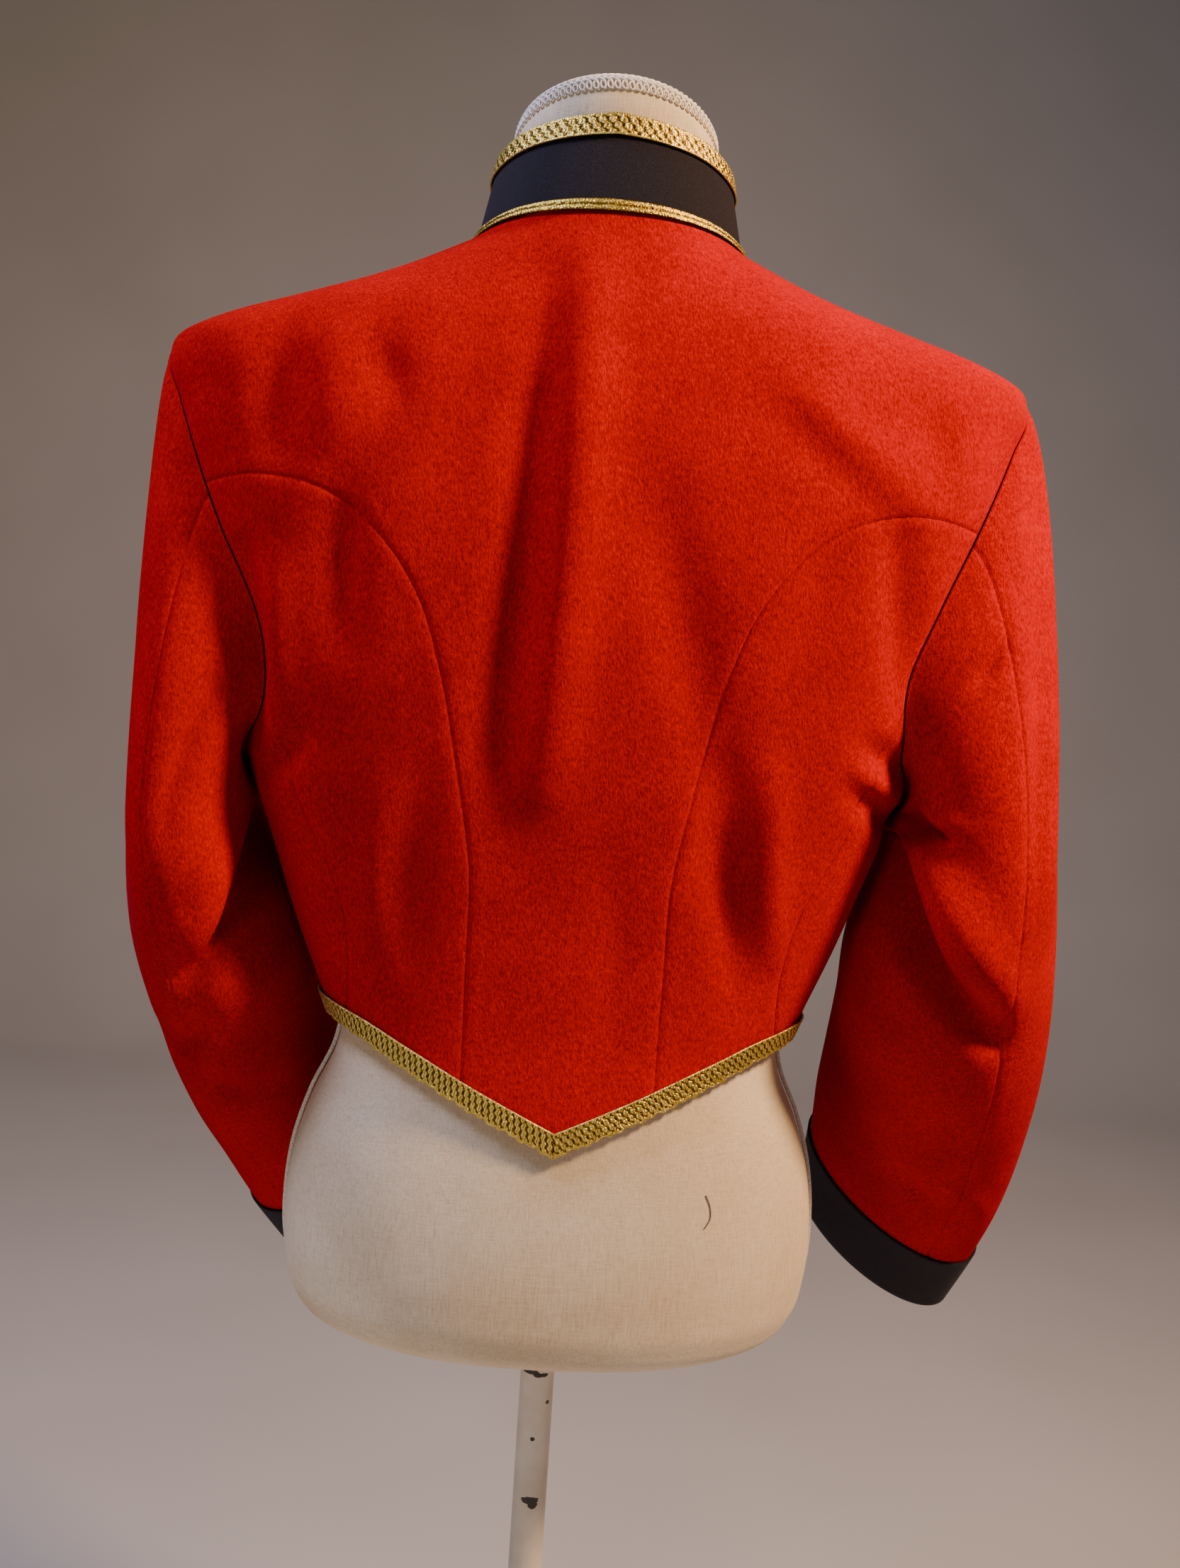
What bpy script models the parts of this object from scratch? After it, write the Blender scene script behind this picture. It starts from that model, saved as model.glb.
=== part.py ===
"""Short scarlet mess jacket with a navy stand collar, worn by a limbless dress form on a pole.

Metres, +Z up. The origin is on the floor under the middle of the base, and the jacket's front
faces -Y. Heights in the tables are measured from the centre back point of the hem.
"""
import bpy
import bmesh
import numpy as np
from math import cos, pi, radians, sin

# Where the form stands
FORM_UNDERSIDE = 0.600
FORM_BELOW_HEM = 0.138
HEM_POINT_HEIGHT = FORM_UNDERSIDE + FORM_BELOW_HEM

# Cloth, trimmings and the gaps between touching pieces
CLOTH = 0.0020
CUFF_CLOTH = 0.0018
COLLAR_CLOTH = 0.0030
SEAM_HALF_GAP = 0.0002
SURFACE_GAP = 0.0005
TOUCH_GAP = 0.0003
WELD = 0.0001

# The jacket's torso as a stack of level rings
RING_COLUMNS = ("height", "half_width", "back_depth", "front_depth", "squareness")
JACKET_RINGS = (
    (-0.030, 0.1290, 0.0985, 0.0930, 2.3),
    (0.000, 0.1310, 0.0955, 0.0900, 2.3),
    (0.040, 0.1375, 0.0880, 0.0870, 2.4),
    (0.060, 0.1455, 0.0860, 0.0880, 2.4),
    (0.095, 0.1600, 0.0850, 0.0910, 2.4),
    (0.140, 0.1755, 0.0865, 0.0960, 2.5),
    (0.192, 0.1925, 0.0900, 0.1020, 2.7),
    (0.250, 0.2020, 0.0925, 0.1060, 3.0),
    (0.300, 0.2130, 0.0930, 0.1040, 3.1),
    (0.345, 0.2260, 0.0915, 0.0970, 3.1),
    (0.390, 0.2395, 0.0875, 0.0870, 2.9),
    (0.4150, 0.2465, 0.0840, 0.0790, 2.7),
    (0.4265, 0.2420, 0.0815, 0.0755, 2.6),
    (0.4375, 0.2200, 0.0795, 0.0710, 2.5),
    (0.4500, 0.1830, 0.0770, 0.0640, 2.3),
    (0.4633, 0.1420, 0.0735, 0.0530, 2.2),
    (0.4790, 0.1030, 0.0700, 0.0370, 2.1),
    (0.4920, 0.0764, 0.0675, 0.0180, 2.1),
    (0.5000, 0.0710, 0.0655, 0.0120, 2.1),
)

# The form's torso and neck; it shows below the hem and above the collar
FORM_COLUMNS = ("height", "half_width", "back_depth", "front_depth", "squareness", "neck_tilt")
FORM_RINGS = (
    (-0.1380, 0.1370, 0.0860, 0.0840, 2.3, 0.0),
    (-0.1330, 0.1450, 0.0930, 0.0905, 2.3, 0.0),
    (-0.1220, 0.1530, 0.0985, 0.0955, 2.3, 0.0),
    (-0.1020, 0.1580, 0.1010, 0.0985, 2.3, 0.0),
    (-0.0750, 0.1590, 0.1010, 0.0990, 2.3, 0.0),
    (-0.0400, 0.1550, 0.0980, 0.0960, 2.3, 0.0),
    (-0.0100, 0.1460, 0.0930, 0.0900, 2.3, 0.0),
    (0.0200, 0.1330, 0.0870, 0.0830, 2.3, 0.0),
    (0.0500, 0.1300, 0.0810, 0.0800, 2.3, 0.0),
    (0.0900, 0.1420, 0.0780, 0.0820, 2.3, 0.0),
    (0.1400, 0.1560, 0.0790, 0.0870, 2.4, 0.0),
    (0.1920, 0.1650, 0.0820, 0.0930, 2.5, 0.0),
    (0.2500, 0.1720, 0.0845, 0.0970, 2.6, 0.0),
    (0.3100, 0.1780, 0.0845, 0.0940, 2.7, 0.0),
    (0.3700, 0.1820, 0.0810, 0.0820, 2.7, 0.0),
    (0.4100, 0.1840, 0.0765, 0.0720, 2.6, 0.0),
    (0.4310, 0.1810, 0.0735, 0.0650, 2.4, 0.0),
    (0.4430, 0.1720, 0.0710, 0.0600, 2.3, 0.0),
    (0.4540, 0.1500, 0.0685, 0.0530, 2.2, 0.0),
    (0.4650, 0.1200, 0.0655, 0.0430, 2.2, 0.0),
    (0.4770, 0.0875, 0.0620, 0.0345, 2.1, 0.0),
    (0.4880, 0.0685, 0.0590, 0.0355, 2.0, 3.0),
    (0.5060, 0.0610, 0.0555, 0.0430, 2.0, 8.0),
    (0.5280, 0.0570, 0.0535, 0.0480, 2.0, 14.0),
    (0.5540, 0.0545, 0.0530, 0.0510, 2.0, 20.0),
    (0.5565, 0.0525, 0.0510, 0.0490, 2.0, 20.0),
)
FORM_NECK_DOME = 0.004

# Hem of one half, by its angle from the centre back
HEM_COLUMNS = ("degrees", "height")
HEM = (
    (0.0, -0.0120),
    (21.0, 0.0095),
    (39.0, 0.0285),
    (50.0, 0.0385),
    (60.0, 0.0430),
    (90.0, 0.0445),
    (116.0, 0.0435),
    (133.0, 0.0390),
    (148.0, 0.0290),
    (160.0, 0.0180),
)
CURVED_SEAM_HEM_DEGREES = 23.0
SIDE_SEAM_HEM_DEGREES = 58.0
SPLIT_HEM_DEGREES = 123.0

# Seams and edges of one half seen square on, as distance from the centre line and height
CURVED_SEAM = (
    (0.0540, 0.0850),
    (0.0550, 0.1400),
    (0.0650, 0.1950),
    (0.0770, 0.2500),
    (0.0885, 0.2830),
    (0.1060, 0.3100),
    (0.1275, 0.3300),
    (0.1550, 0.3425),
    (0.1850, 0.3455),
)
CURVED_SEAM_BEND = 0.3000
CROSS_BACK_HEIGHT = 0.3300
CROSS_BACK_SAG = 0.0066
SIDE_SEAM = (
    (0.1215, 0.0750),
    (0.1235, 0.1000),
    (0.1300, 0.1230),
    (0.1400, 0.1430),
    (0.1510, 0.1650),
    (0.1610, 0.1900),
    (0.1710, 0.2200),
)
NECK_BACK = ((0.0000, 0.4980), (0.0300, 0.4975), (0.0580, 0.4955), (0.0764, 0.4920))
NECK_FRONT = (
    (0.0764, 0.4920),
    (0.0740, 0.4840),
    (0.0660, 0.4740),
    (0.0520, 0.4650),
    (0.0350, 0.4590),
    (0.0015, 0.4550),
)
FRONT_EDGE = ((0.0015, 0.4550), (0.0020, 0.3600), (0.0040, 0.2800), (0.0120, 0.1900), (0.0280, 0.1000))
CHEST_HEIGHT = 0.2500

# The armhole, taken round from the shoulder point by the back and the underarm
ARMHOLE_COLUMNS = ("turn", "x", "height", "side")
ARMHOLE = (
    (0.0, 0.2420, 0.4265, 1),
    (30.0, 0.2385, 0.3950, 1),
    (60.0, 0.2215, 0.3550, 1),
    (90.0, 0.1965, 0.3000, 1),
    (120.0, 0.1820, 0.2500, 1),
    (150.0, 0.1860, 0.2120, 1),
    (180.0, 0.1925, 0.1920, 1),
    (210.0, 0.1850, 0.2080, -1),
    (240.0, 0.1760, 0.2430, -1),
    (270.0, 0.1780, 0.2950, -1),
    (300.0, 0.1990, 0.3480, -1),
    (330.0, 0.2290, 0.3950, -1),
)
CURVED_SEAM_TURN = 68.0
SIDE_SEAM_TURN = 126.0
FRONT_SPLIT_TURN = 222.0
HIND_SEAM_TURN = 72.0
FORE_SEAM_TURN = 252.0

# Sleeve sections below the armhole; the wearer's left arm hangs closer to the body
SLEEVE_COLUMNS = ("x", "y", "height", "half_across", "half_deep", "tilt", "lean")
SLEEVE_SECTIONS = {
    "left": (
        (0.2235, 0.005, 0.165, 0.0370, 0.0760, 2.0, 2.0),
        (0.2130, -0.006, 0.100, 0.0468, 0.0720, 6.0, 12.0),
        (0.2010, -0.032, 0.048, 0.0500, 0.0690, 14.0, 26.0),
        (0.1900, -0.074, -0.004, 0.0530, 0.0640, 20.0, 36.0),
        (0.1780, -0.120, -0.050, 0.0570, 0.0560, 26.0, 42.0),
        (0.1635, -0.161, -0.098, 0.0600, 0.0480, 30.0, 44.0),
        (0.1480, -0.196, -0.141, 0.0600, 0.0430, 32.0, 44.0),
    ),
    "right": (
        (0.2365, 0.005, 0.165, 0.0505, 0.0760, 2.0, 2.0),
        (0.2330, -0.002, 0.100, 0.0620, 0.0700, 4.0, 10.0),
        (0.2370, -0.024, 0.045, 0.0660, 0.0670, 10.0, 22.0),
        (0.2400, -0.056, -0.005, 0.0690, 0.0620, 17.0, 30.0),
        (0.2420, -0.090, -0.050, 0.0710, 0.0560, 24.0, 34.0),
        (0.2420, -0.122, -0.095, 0.0690, 0.0480, 29.0, 34.0),
        (0.2380, -0.150, -0.142, 0.0640, 0.0430, 30.0, 34.0),
    ),
}
CAP_ROUND_TOP = {"left": 0.008, "right": 0.018}
CAP_ROUND_UNDER = 0.010
CAP_PULL = 0.45
CAP_LEAVES = {"across": 0.90, "back": 0.35, "down": 0.40}
CAP_DRIFT = {"left": 0.02, "right": 0.09}
ARMHOLE_GAP = 0.0009
CAP_ROWS = 7
ARM_ROWS = 11
CUFF_DEPTH = 0.055
CUFF_ROWS = 3
CUFF_GAP = 0.0010

# Largest folds of the torso: start, end, half width and depth; a valley is negative
FOLD_COLUMNS = ("side", "x0", "height0", "x1", "height1", "half_width", "depth")
FOLD_FADE = 0.03
TORSO_FOLDS = (
    (1, 0.002, 0.450, -0.012, 0.240, 0.014, 0.0030),
    (1, 0.026, 0.440, 0.012, 0.240, 0.012, -0.0035),
    (1, -0.036, 0.340, -0.070, 0.210, 0.018, -0.0035),
    (1, -0.074, 0.200, -0.088, 0.110, 0.014, -0.0030),
    (1, -0.060, 0.425, -0.140, 0.392, 0.014, 0.0030),
    (1, 0.116, 0.420, 0.109, 0.385, 0.014, -0.0030),
    (1, 0.170, 0.415, 0.168, 0.360, 0.014, -0.0035),
    (1, -0.105, 0.200, -0.113, 0.105, 0.011, 0.0035),
    (1, -0.168, 0.320, -0.176, 0.255, 0.013, -0.0040),
    (1, 0.134, 0.325, 0.130, 0.262, 0.014, -0.0035),
    (1, 0.168, 0.290, 0.164, 0.225, 0.011, 0.0030),
    (1, -0.158, 0.195, -0.180, 0.185, 0.010, -0.0035),
    (-1, 0.120, 0.360, 0.150, 0.260, 0.016, -0.0040),
    (-1, -0.115, 0.370, -0.148, 0.265, 0.016, -0.0035),
    (-1, 0.085, 0.170, 0.120, 0.090, 0.016, -0.0030),
    (-1, -0.090, 0.180, -0.122, 0.100, 0.015, -0.0035),
)

# Largest folds of the sleeves: places are turn round the arm and share of its length
SLEEVE_FOLD_COLUMNS = ("turn0", "run0", "turn1", "run1", "half_width", "depth")
SLEEVE_RADIUS = 0.060
SLEEVE_LENGTH = 0.600
SLEEVE_FOLDS = {
    "left": (
        (125.0, 0.46, 90.0, 0.56, 0.013, -0.0070),
        (90.0, 0.56, 40.0, 0.60, 0.013, -0.0065),
        (60.0, 0.52, 95.0, 0.50, 0.012, 0.0030),
        (50.0, 0.66, 100.0, 0.65, 0.012, 0.0035),
        (60.0, 0.76, 110.0, 0.76, 0.011, -0.0030),
        (255.0, 0.55, 300.0, 0.58, 0.014, -0.0060),
        (285.0, 0.20, 275.0, 0.40, 0.016, -0.0050),
    ),
    "right": (
        (150.0, 0.46, 115.0, 0.43, 0.012, -0.0050),
        (145.0, 0.47, 55.0, 0.66, 0.014, -0.0065),
        (100.0, 0.88, 70.0, 0.80, 0.014, -0.0035),
        (260.0, 0.56, 310.0, 0.62, 0.015, -0.0060),
        (280.0, 0.22, 268.0, 0.42, 0.016, -0.0050),
        (60.0, 0.24, 75.0, 0.40, 0.015, -0.0035),
    ),
}

# Collar: height above the neck seam, lean inwards, and the trimmings on it
COLLAR_COLUMNS = ("turn", "rise", "lean_in")
COLLAR_SHAPE = (
    (0.0, 0.0500, 0.0065),
    (60.0, 0.0440, 0.0080),
    (90.0, 0.0400, 0.0090),
    (140.0, 0.0370, 0.0080),
    (178.0, 0.0360, 0.0070),
)
COLLAR_STANDS_OFF = 0.0012
COLLAR_STEPS = 30
COLLAR_BRAID_WIDTH = 0.0115
COLLAR_BRAID_THICK = 0.0014
COLLAR_CORD_WIDTH = 0.0060
COLLAR_CORD_RISE = 0.0010
COLLAR_CORD_THICK = 0.0022

# Gold braid on the jacket's edge
EDGE_BRAID_WIDTH = 0.0120
EDGE_BRAID_GAP = 0.0010
EDGE_BRAID_THICK = 0.0014
EDGE_BRAID_CORNER = 1.4

# Hook and eye at the front of the collar
HOOK_WIRE = 0.0006
HOOK_REACH = (-0.0075, -0.0030, 0.0012)
EYE_LOOP = 0.0028
EYE_MIDDLE = 0.0030
EYE_STEPS = 9

# Trimmings of the form
NECK_BRAID_WIDTH = 0.0085
NECK_BRAID_THICK = 0.0016
SIDE_CORD_RADIUS = 0.0015
SIDE_CORD_TOP = 0.030
SIDE_CORD_FOOT = -0.122
SIDE_CORD_POINTS = 14

# Stand
POLE_RADIUS = 0.0105
BASE_RADIUS = 0.145
BASE_THICKNESS = 0.012
BASE_EDGE = 0.003
FERRULE_RADIUS = 0.024
FERRULE_HEIGHT = 0.040
FERRULE_WALL = 0.006
FERRULE_EDGE = 0.002
FERRULE_FLANGE = 0.004

# Mesh fineness
LOW_ROWS = 10
HIGH_ROWS = 6
CROSS_STEPS = 5
CURVED_STEPS = 5
NECK_STEPS = 4
SHOULDER_STEPS = 6
SIDE_BACK_STEPS = 4
UNDERARM_STEPS = 6
SLEEVE_STEPS = 10
FORM_STEPS = 36
HEM_BRAID_STEPS = 28
FRONT_BRAID_STEPS = 18
TURNED_STEPS = 24
BASE_STEPS = 48
SHARP_ANGLE = radians(50)

# How routes and faces are worked out
ROOF_VIEW = 0.7
SMALL_STEP = 1e-4
ROUTE_SAMPLES = 400
LEVEL_SAMPLES = 1200
HALVINGS = 40

COLOURS = {
    "scarlet_melton": ((0.56, 0.045, 0.040), 0.9, 0.0),
    "navy_cloth": ((0.012, 0.013, 0.024), 0.9, 0.0),
    "gold_braid": ((0.62, 0.42, 0.14), 0.45, 0.6),
    "form_linen": ((0.62, 0.52, 0.40), 0.95, 0.0),
    "white_trim": ((0.82, 0.80, 0.74), 0.8, 0.0),
    "white_paint": ((0.80, 0.78, 0.73), 0.4, 0.0),
    "blackened_steel": ((0.05, 0.05, 0.05), 0.4, 0.9),
}


def column(table, columns, name):
    return np.array([row[columns.index(name)] for row in table], dtype=float)


def smooth(known_at, known, at):
    """Cubic curve through the known values, held flat outside them."""
    known_at = np.asarray(known_at, float)
    known = np.asarray(known, float)
    at = np.clip(np.asarray(at, float), known_at[0], known_at[-1])
    slopes = np.gradient(known, known_at)
    i = np.clip(np.searchsorted(known_at, at, side="right") - 1, 0, len(known_at) - 2)
    step = known_at[i + 1] - known_at[i]
    t = (at - known_at[i]) / step
    return (
        (2 * t**3 - 3 * t**2 + 1) * known[i]
        + (t**3 - 2 * t**2 + t) * step * slopes[i]
        + (3 * t**2 - 2 * t**3) * known[i + 1]
        + (t**3 - t**2) * step * slopes[i + 1]
    )


def ring_value(name, height):
    return smooth(
        column(JACKET_RINGS, RING_COLUMNS, "height"), column(JACKET_RINGS, RING_COLUMNS, name), height
    )


def depth_at(x, height, side):
    """How far the torso reaches from its middle plane at a place seen square on."""
    inside = 1 - (np.abs(x) / ring_value("half_width", height)) ** ring_value("squareness", height)
    reach = np.where(side > 0, ring_value("back_depth", height), ring_value("front_depth", height))
    return reach * np.clip(inside, 0, 1) ** (1 / ring_value("squareness", height))


def on_ring(angle, height):
    """Point of the torso by its angle from the centre back, in radians, and its height."""
    power = ring_value("squareness", height)
    swell = (np.abs(np.sin(angle)) ** power + np.abs(np.cos(angle)) ** power) ** (-1 / power)
    reach = np.where(np.cos(angle) > 0, ring_value("back_depth", height), ring_value("front_depth", height))
    x = ring_value("half_width", height) * np.sin(angle) * swell
    return np.stack([x, reach * np.cos(angle) * swell, height + 0 * angle], -1)


def ring_angle(x, height, side):
    """Angle from the centre back of a place seen square on, the opposite of on_ring."""
    across = np.clip(np.abs(x) / ring_value("half_width", height), 0, 1)
    power = ring_value("squareness", height)
    along = (1 - across**power) ** (1 / power)
    return np.arctan2(across, np.where(side > 0, along, -along))


def distance_to_line(x, y, start, end):
    run = np.subtract(end, start)
    share = np.clip(((x - start[0]) * run[0] + (y - start[1]) * run[1]) / (run @ run), 0, 1)
    return np.hypot(x - start[0] - share * run[0], y - start[1] - share * run[1])


def torso_fold_height(points):
    """How far the folds lift the cloth at each point of the plain torso."""
    lift = np.zeros(points.shape[:-1])
    for row in TORSO_FOLDS:
        fold = dict(zip(FOLD_COLUMNS, row))
        start, end = (fold["x0"], fold["height0"]), (fold["x1"], fold["height1"])
        near = distance_to_line(points[..., 0], points[..., 2], start, end)
        same_side = np.clip(points[..., 1] * fold["side"] / FOLD_FADE, 0, 1)
        lift = lift + fold["depth"] * np.exp(-((near / fold["half_width"]) ** 2)) * same_side
    return lift


def torso(angle, height, out=0.0):
    """Point of the jacket's outer face, folds included, or that far outside it."""
    plain = on_ring(angle, height)
    around = on_ring(angle + SMALL_STEP, height) - on_ring(angle - SMALL_STEP, height)
    upward = on_ring(angle, height + SMALL_STEP) - on_ring(angle, height - SMALL_STEP)
    normal = np.cross(upward, around)
    normal = normal / np.maximum(np.linalg.norm(normal, axis=-1, keepdims=True), 1e-12)
    normal = normal * np.where(np.sum(normal * plain * (1, 1, 0), -1, keepdims=True) < 0, -1, 1)
    return plain + normal * (torso_fold_height(plain) + out)[..., None]


def polyline(points):
    """Route through 2D points, read by the share of its length."""
    points = np.array(points, float)
    chord = np.concatenate([[0], np.cumsum(np.linalg.norm(np.diff(points, axis=0), axis=1))])

    def at(share):
        length = np.asarray(share) * chord[-1]
        return np.stack([smooth(chord, points[:, 0], length), smooth(chord, points[:, 1], length)], -1)

    return at


def evenly(route):
    """The same route, read by the share of its true length on the torso."""
    share = np.linspace(0, 1, ROUTE_SAMPLES)
    angle_height = route(share)
    points = on_ring(angle_height[:, 0], angle_height[:, 1])
    length = np.concatenate([[0], np.cumsum(np.linalg.norm(np.diff(points, axis=0), axis=1))])
    return lambda t: route(np.interp(np.asarray(t) * length[-1], length, share))


def seen_route(points, side):
    """Route through places seen square on, as angle and height on the torso."""
    seen = polyline(points)

    def at(share):
        place = seen(share)
        return np.stack([ring_angle(place[..., 0], place[..., 1], side), place[..., 1]], -1)

    return evenly(at)


def armhole(turn):
    """Angle and height of the armhole seam, by its turn in degrees from the shoulder point."""
    x = column(ARMHOLE, ARMHOLE_COLUMNS, "x")
    height = column(ARMHOLE, ARMHOLE_COLUMNS, "height")
    angle = ring_angle(x, height, column(ARMHOLE, ARMHOLE_COLUMNS, "side"))
    known = column(ARMHOLE, ARMHOLE_COLUMNS, "turn")
    turns = np.concatenate([known - 360, known, known + 360])
    return np.stack([smooth(turns, np.tile(angle, 3), turn), smooth(turns, np.tile(height, 3), turn)], -1)


def armhole_route(start, end):
    return evenly(lambda share: armhole(start + (end - start) * np.asarray(share)))


def chain(*runs):
    """Routes joined end to end; each run is a route and its number of steps."""
    steps = np.array([count for _, count in runs])
    ends = np.concatenate([[0], np.cumsum(steps)])

    def at(share):
        place = np.asarray(share, float) * ends[-1]
        found = np.zeros(place.shape + (2,))
        for (route, count), start in zip(runs, ends):
            local = (place - start) / count
            here = (local >= -1e-9) & (local <= 1 + 1e-9)
            found[here] = route(np.clip(local[here], 0, 1))
        return found

    return at


def ridge_route(start_height, end_height):
    """Shoulder seam along the top of the shoulder."""

    def at(share):
        height = start_height + (end_height - start_height) * np.asarray(share, float)
        return np.stack([np.full(height.shape, pi / 2), height], -1)

    return evenly(at)


def to_view(angle_height, side):
    """Angle and height as seen from above the shoulder blades or the chest."""
    points = on_ring(angle_height[..., 0], angle_height[..., 1])
    return np.stack([points[..., 0], points[..., 2] - ROOF_VIEW * points[..., 1] * side], -1)


def from_view(seen, side):
    """The opposite of to_view, found by halving."""
    levels = np.linspace(JACKET_RINGS[0][0], JACKET_RINGS[-1][0], LEVEL_SAMPLES)
    widths = ring_value("half_width", levels)
    widest = np.argmax(widths)
    x, rise = seen[..., 0], seen[..., 1]
    low = np.interp(np.abs(x), widths[:widest], levels[:widest])
    high = np.interp(-np.abs(x), -widths[widest:], levels[widest:])
    for _ in range(HALVINGS):
        middle = (low + high) / 2
        over = middle - ROOF_VIEW * depth_at(x, middle, side) > rise
        high = np.where(over, middle, high)
        low = np.where(over, low, middle)
    height = (low + high) / 2
    return np.stack([ring_angle(x, height, side), height], -1)


def blend_edges(u, v, bottom, top, left, right):
    """Place inside four edges, as a blend of them."""
    u1, v1 = u[..., None], v[..., None]
    corners = (
        (1 - u1) * (1 - v1) * bottom(np.zeros_like(u))
        + u1 * (1 - v1) * bottom(np.ones_like(u))
        + (1 - u1) * v1 * top(np.zeros_like(u))
        + u1 * v1 * top(np.ones_like(u))
    )
    return (1 - v1) * bottom(u) + v1 * top(u) + (1 - u1) * left(v) + u1 * right(v) - corners


def region(u, v, edges, side):
    """Angle and height inside a panel's four edges; side 0 is the flank, blended as it lies."""
    if side == 0:
        return blend_edges(u, v, *edges)
    seen = [lambda share, edge=edge: to_view(edge(share), side) for edge in edges]
    place = from_view(blend_edges(u, v, *seen), side)
    bottom, top, left, right = edges
    for edge, share, on_edge in ((bottom, u, v == 0), (top, u, v == 1), (left, v, u == 0), (right, v, u == 1)):
        place = np.where(on_edge[..., None], edge(share), place)
    return place


def material_for(name):
    material = bpy.data.materials.get(name)
    if material is None:
        colour, roughness, metallic = COLOURS[name]
        material = bpy.data.materials.new(name)
        material.use_nodes = True
        shader = material.node_tree.nodes["Principled BSDF"]
        shader.inputs["Base Color"].default_value = (*colour, 1)
        shader.inputs["Roughness"].default_value = roughness
        shader.inputs["Metallic"].default_value = metallic
    return material


def add_object(name, mesh, material, collection):
    piece = bpy.data.objects.new(name, mesh)
    mesh.materials.append(material_for(material))
    collection.objects.link(piece)
    return piece


def fill_grid(grid, point_at, steps_u, steps_v):
    """Adds a grid of faces whose corners are point_at(u, v); returns its corners and their shares."""
    verts = bmesh.ops.create_grid(grid, x_segments=steps_u, y_segments=steps_v, size=0.5)["verts"]
    share = np.array([vert.co[:2] for vert in verts]) + 0.5
    for vert, place in zip(verts, point_at(share[:, 0], share[:, 1])):
        vert.co = place
    return verts, share


def rim_moves(grid, distance):
    """Moves that take the open rim into the piece by half a seam's gap."""
    moves = {}
    for vert in grid.verts:
        if not vert.is_boundary:
            continue
        inner = [edge for edge in vert.link_edges if not edge.is_boundary] or vert.link_edges
        inward = sum((edge.other_vert(vert).co - vert.co for edge in inner), vert.co * 0)
        moves[vert] = inward.normalized() * distance
    return moves


def cloth_piece(name, patches, low, high, material, collection):
    """A wall of welded patches, with one face moved out by low and the other by high."""
    wall = bmesh.new()
    hidden = wall.verts.layers.float_vector.new("hidden_face")
    for point_at, steps_u, steps_v in patches:
        verts, share = fill_grid(wall, lambda u, v: point_at(u, v, high), steps_u, steps_v)
        for vert, place in zip(verts, point_at(share[:, 0], share[:, 1], low)):
            vert[hidden] = place
    bmesh.ops.remove_doubles(wall, verts=wall.verts, dist=WELD)
    for vert, move in rim_moves(wall, SEAM_HALF_GAP).items():
        vert.co += move
        vert[hidden] = vert[hidden] + move
    rim = [(edge.verts[0], edge.verts[1]) for edge in wall.edges if edge.is_boundary]
    faces = [tuple(face.verts) for face in wall.faces]
    behind = {vert: wall.verts.new(vert[hidden]) for vert in list(wall.verts)}
    for corners in faces:
        wall.faces.new([behind[vert] for vert in reversed(corners)])
    for first, second in rim:
        wall.faces.new((first, second, behind[second], behind[first]))
    bmesh.ops.recalc_face_normals(wall, faces=wall.faces)
    wall.verts.layers.float_vector.remove(hidden)
    mesh = bpy.data.meshes.new(name)
    wall.to_mesh(mesh)
    wall.free()
    mesh.shade_smooth()
    mesh.set_sharp_from_angle(angle=SHARP_ANGLE)
    return add_object(name, mesh, material, collection)


def mirror_sign(hand):
    """+X is the wearer's left, because the front faces -Y."""
    return 1 if hand == "left" else -1


def torso_points(angle_height, sign, out=0.0):
    """World points of the torso's outer face on one side; sign -1 is the wearer's right."""
    points = torso(sign * angle_height[..., 0], angle_height[..., 1], out)
    return points + (0, 0, HEM_POINT_HEIGHT)


def hem_route(start, end):
    """Hem from one angle round the body to another, in degrees from the centre back."""
    degrees = column(HEM, HEM_COLUMNS, "degrees")
    height = column(HEM, HEM_COLUMNS, "height")

    def at(share):
        place = start + (end - start) * np.asarray(share, float)
        return np.stack([np.radians(place), smooth(degrees, height, place)], -1)

    return evenly(at)


def seen_place(angle_height):
    """The x and height at which an angle and height are seen square on."""
    point = on_ring(angle_height[..., 0], angle_height[..., 1])
    return (float(point[0]), float(point[2]))


def seen_run(route, start, end, side):
    """Stretch of a route of seen places, from one share of its length to another."""
    return seen_route(route(np.linspace(start, end, ROUTE_SAMPLES // 10)), side)


def share_at_height(route, height):
    shares = np.linspace(0, 1, ROUTE_SAMPLES)
    return float(shares[np.argmin(np.abs(route(shares)[:, 1] - height))])


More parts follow.
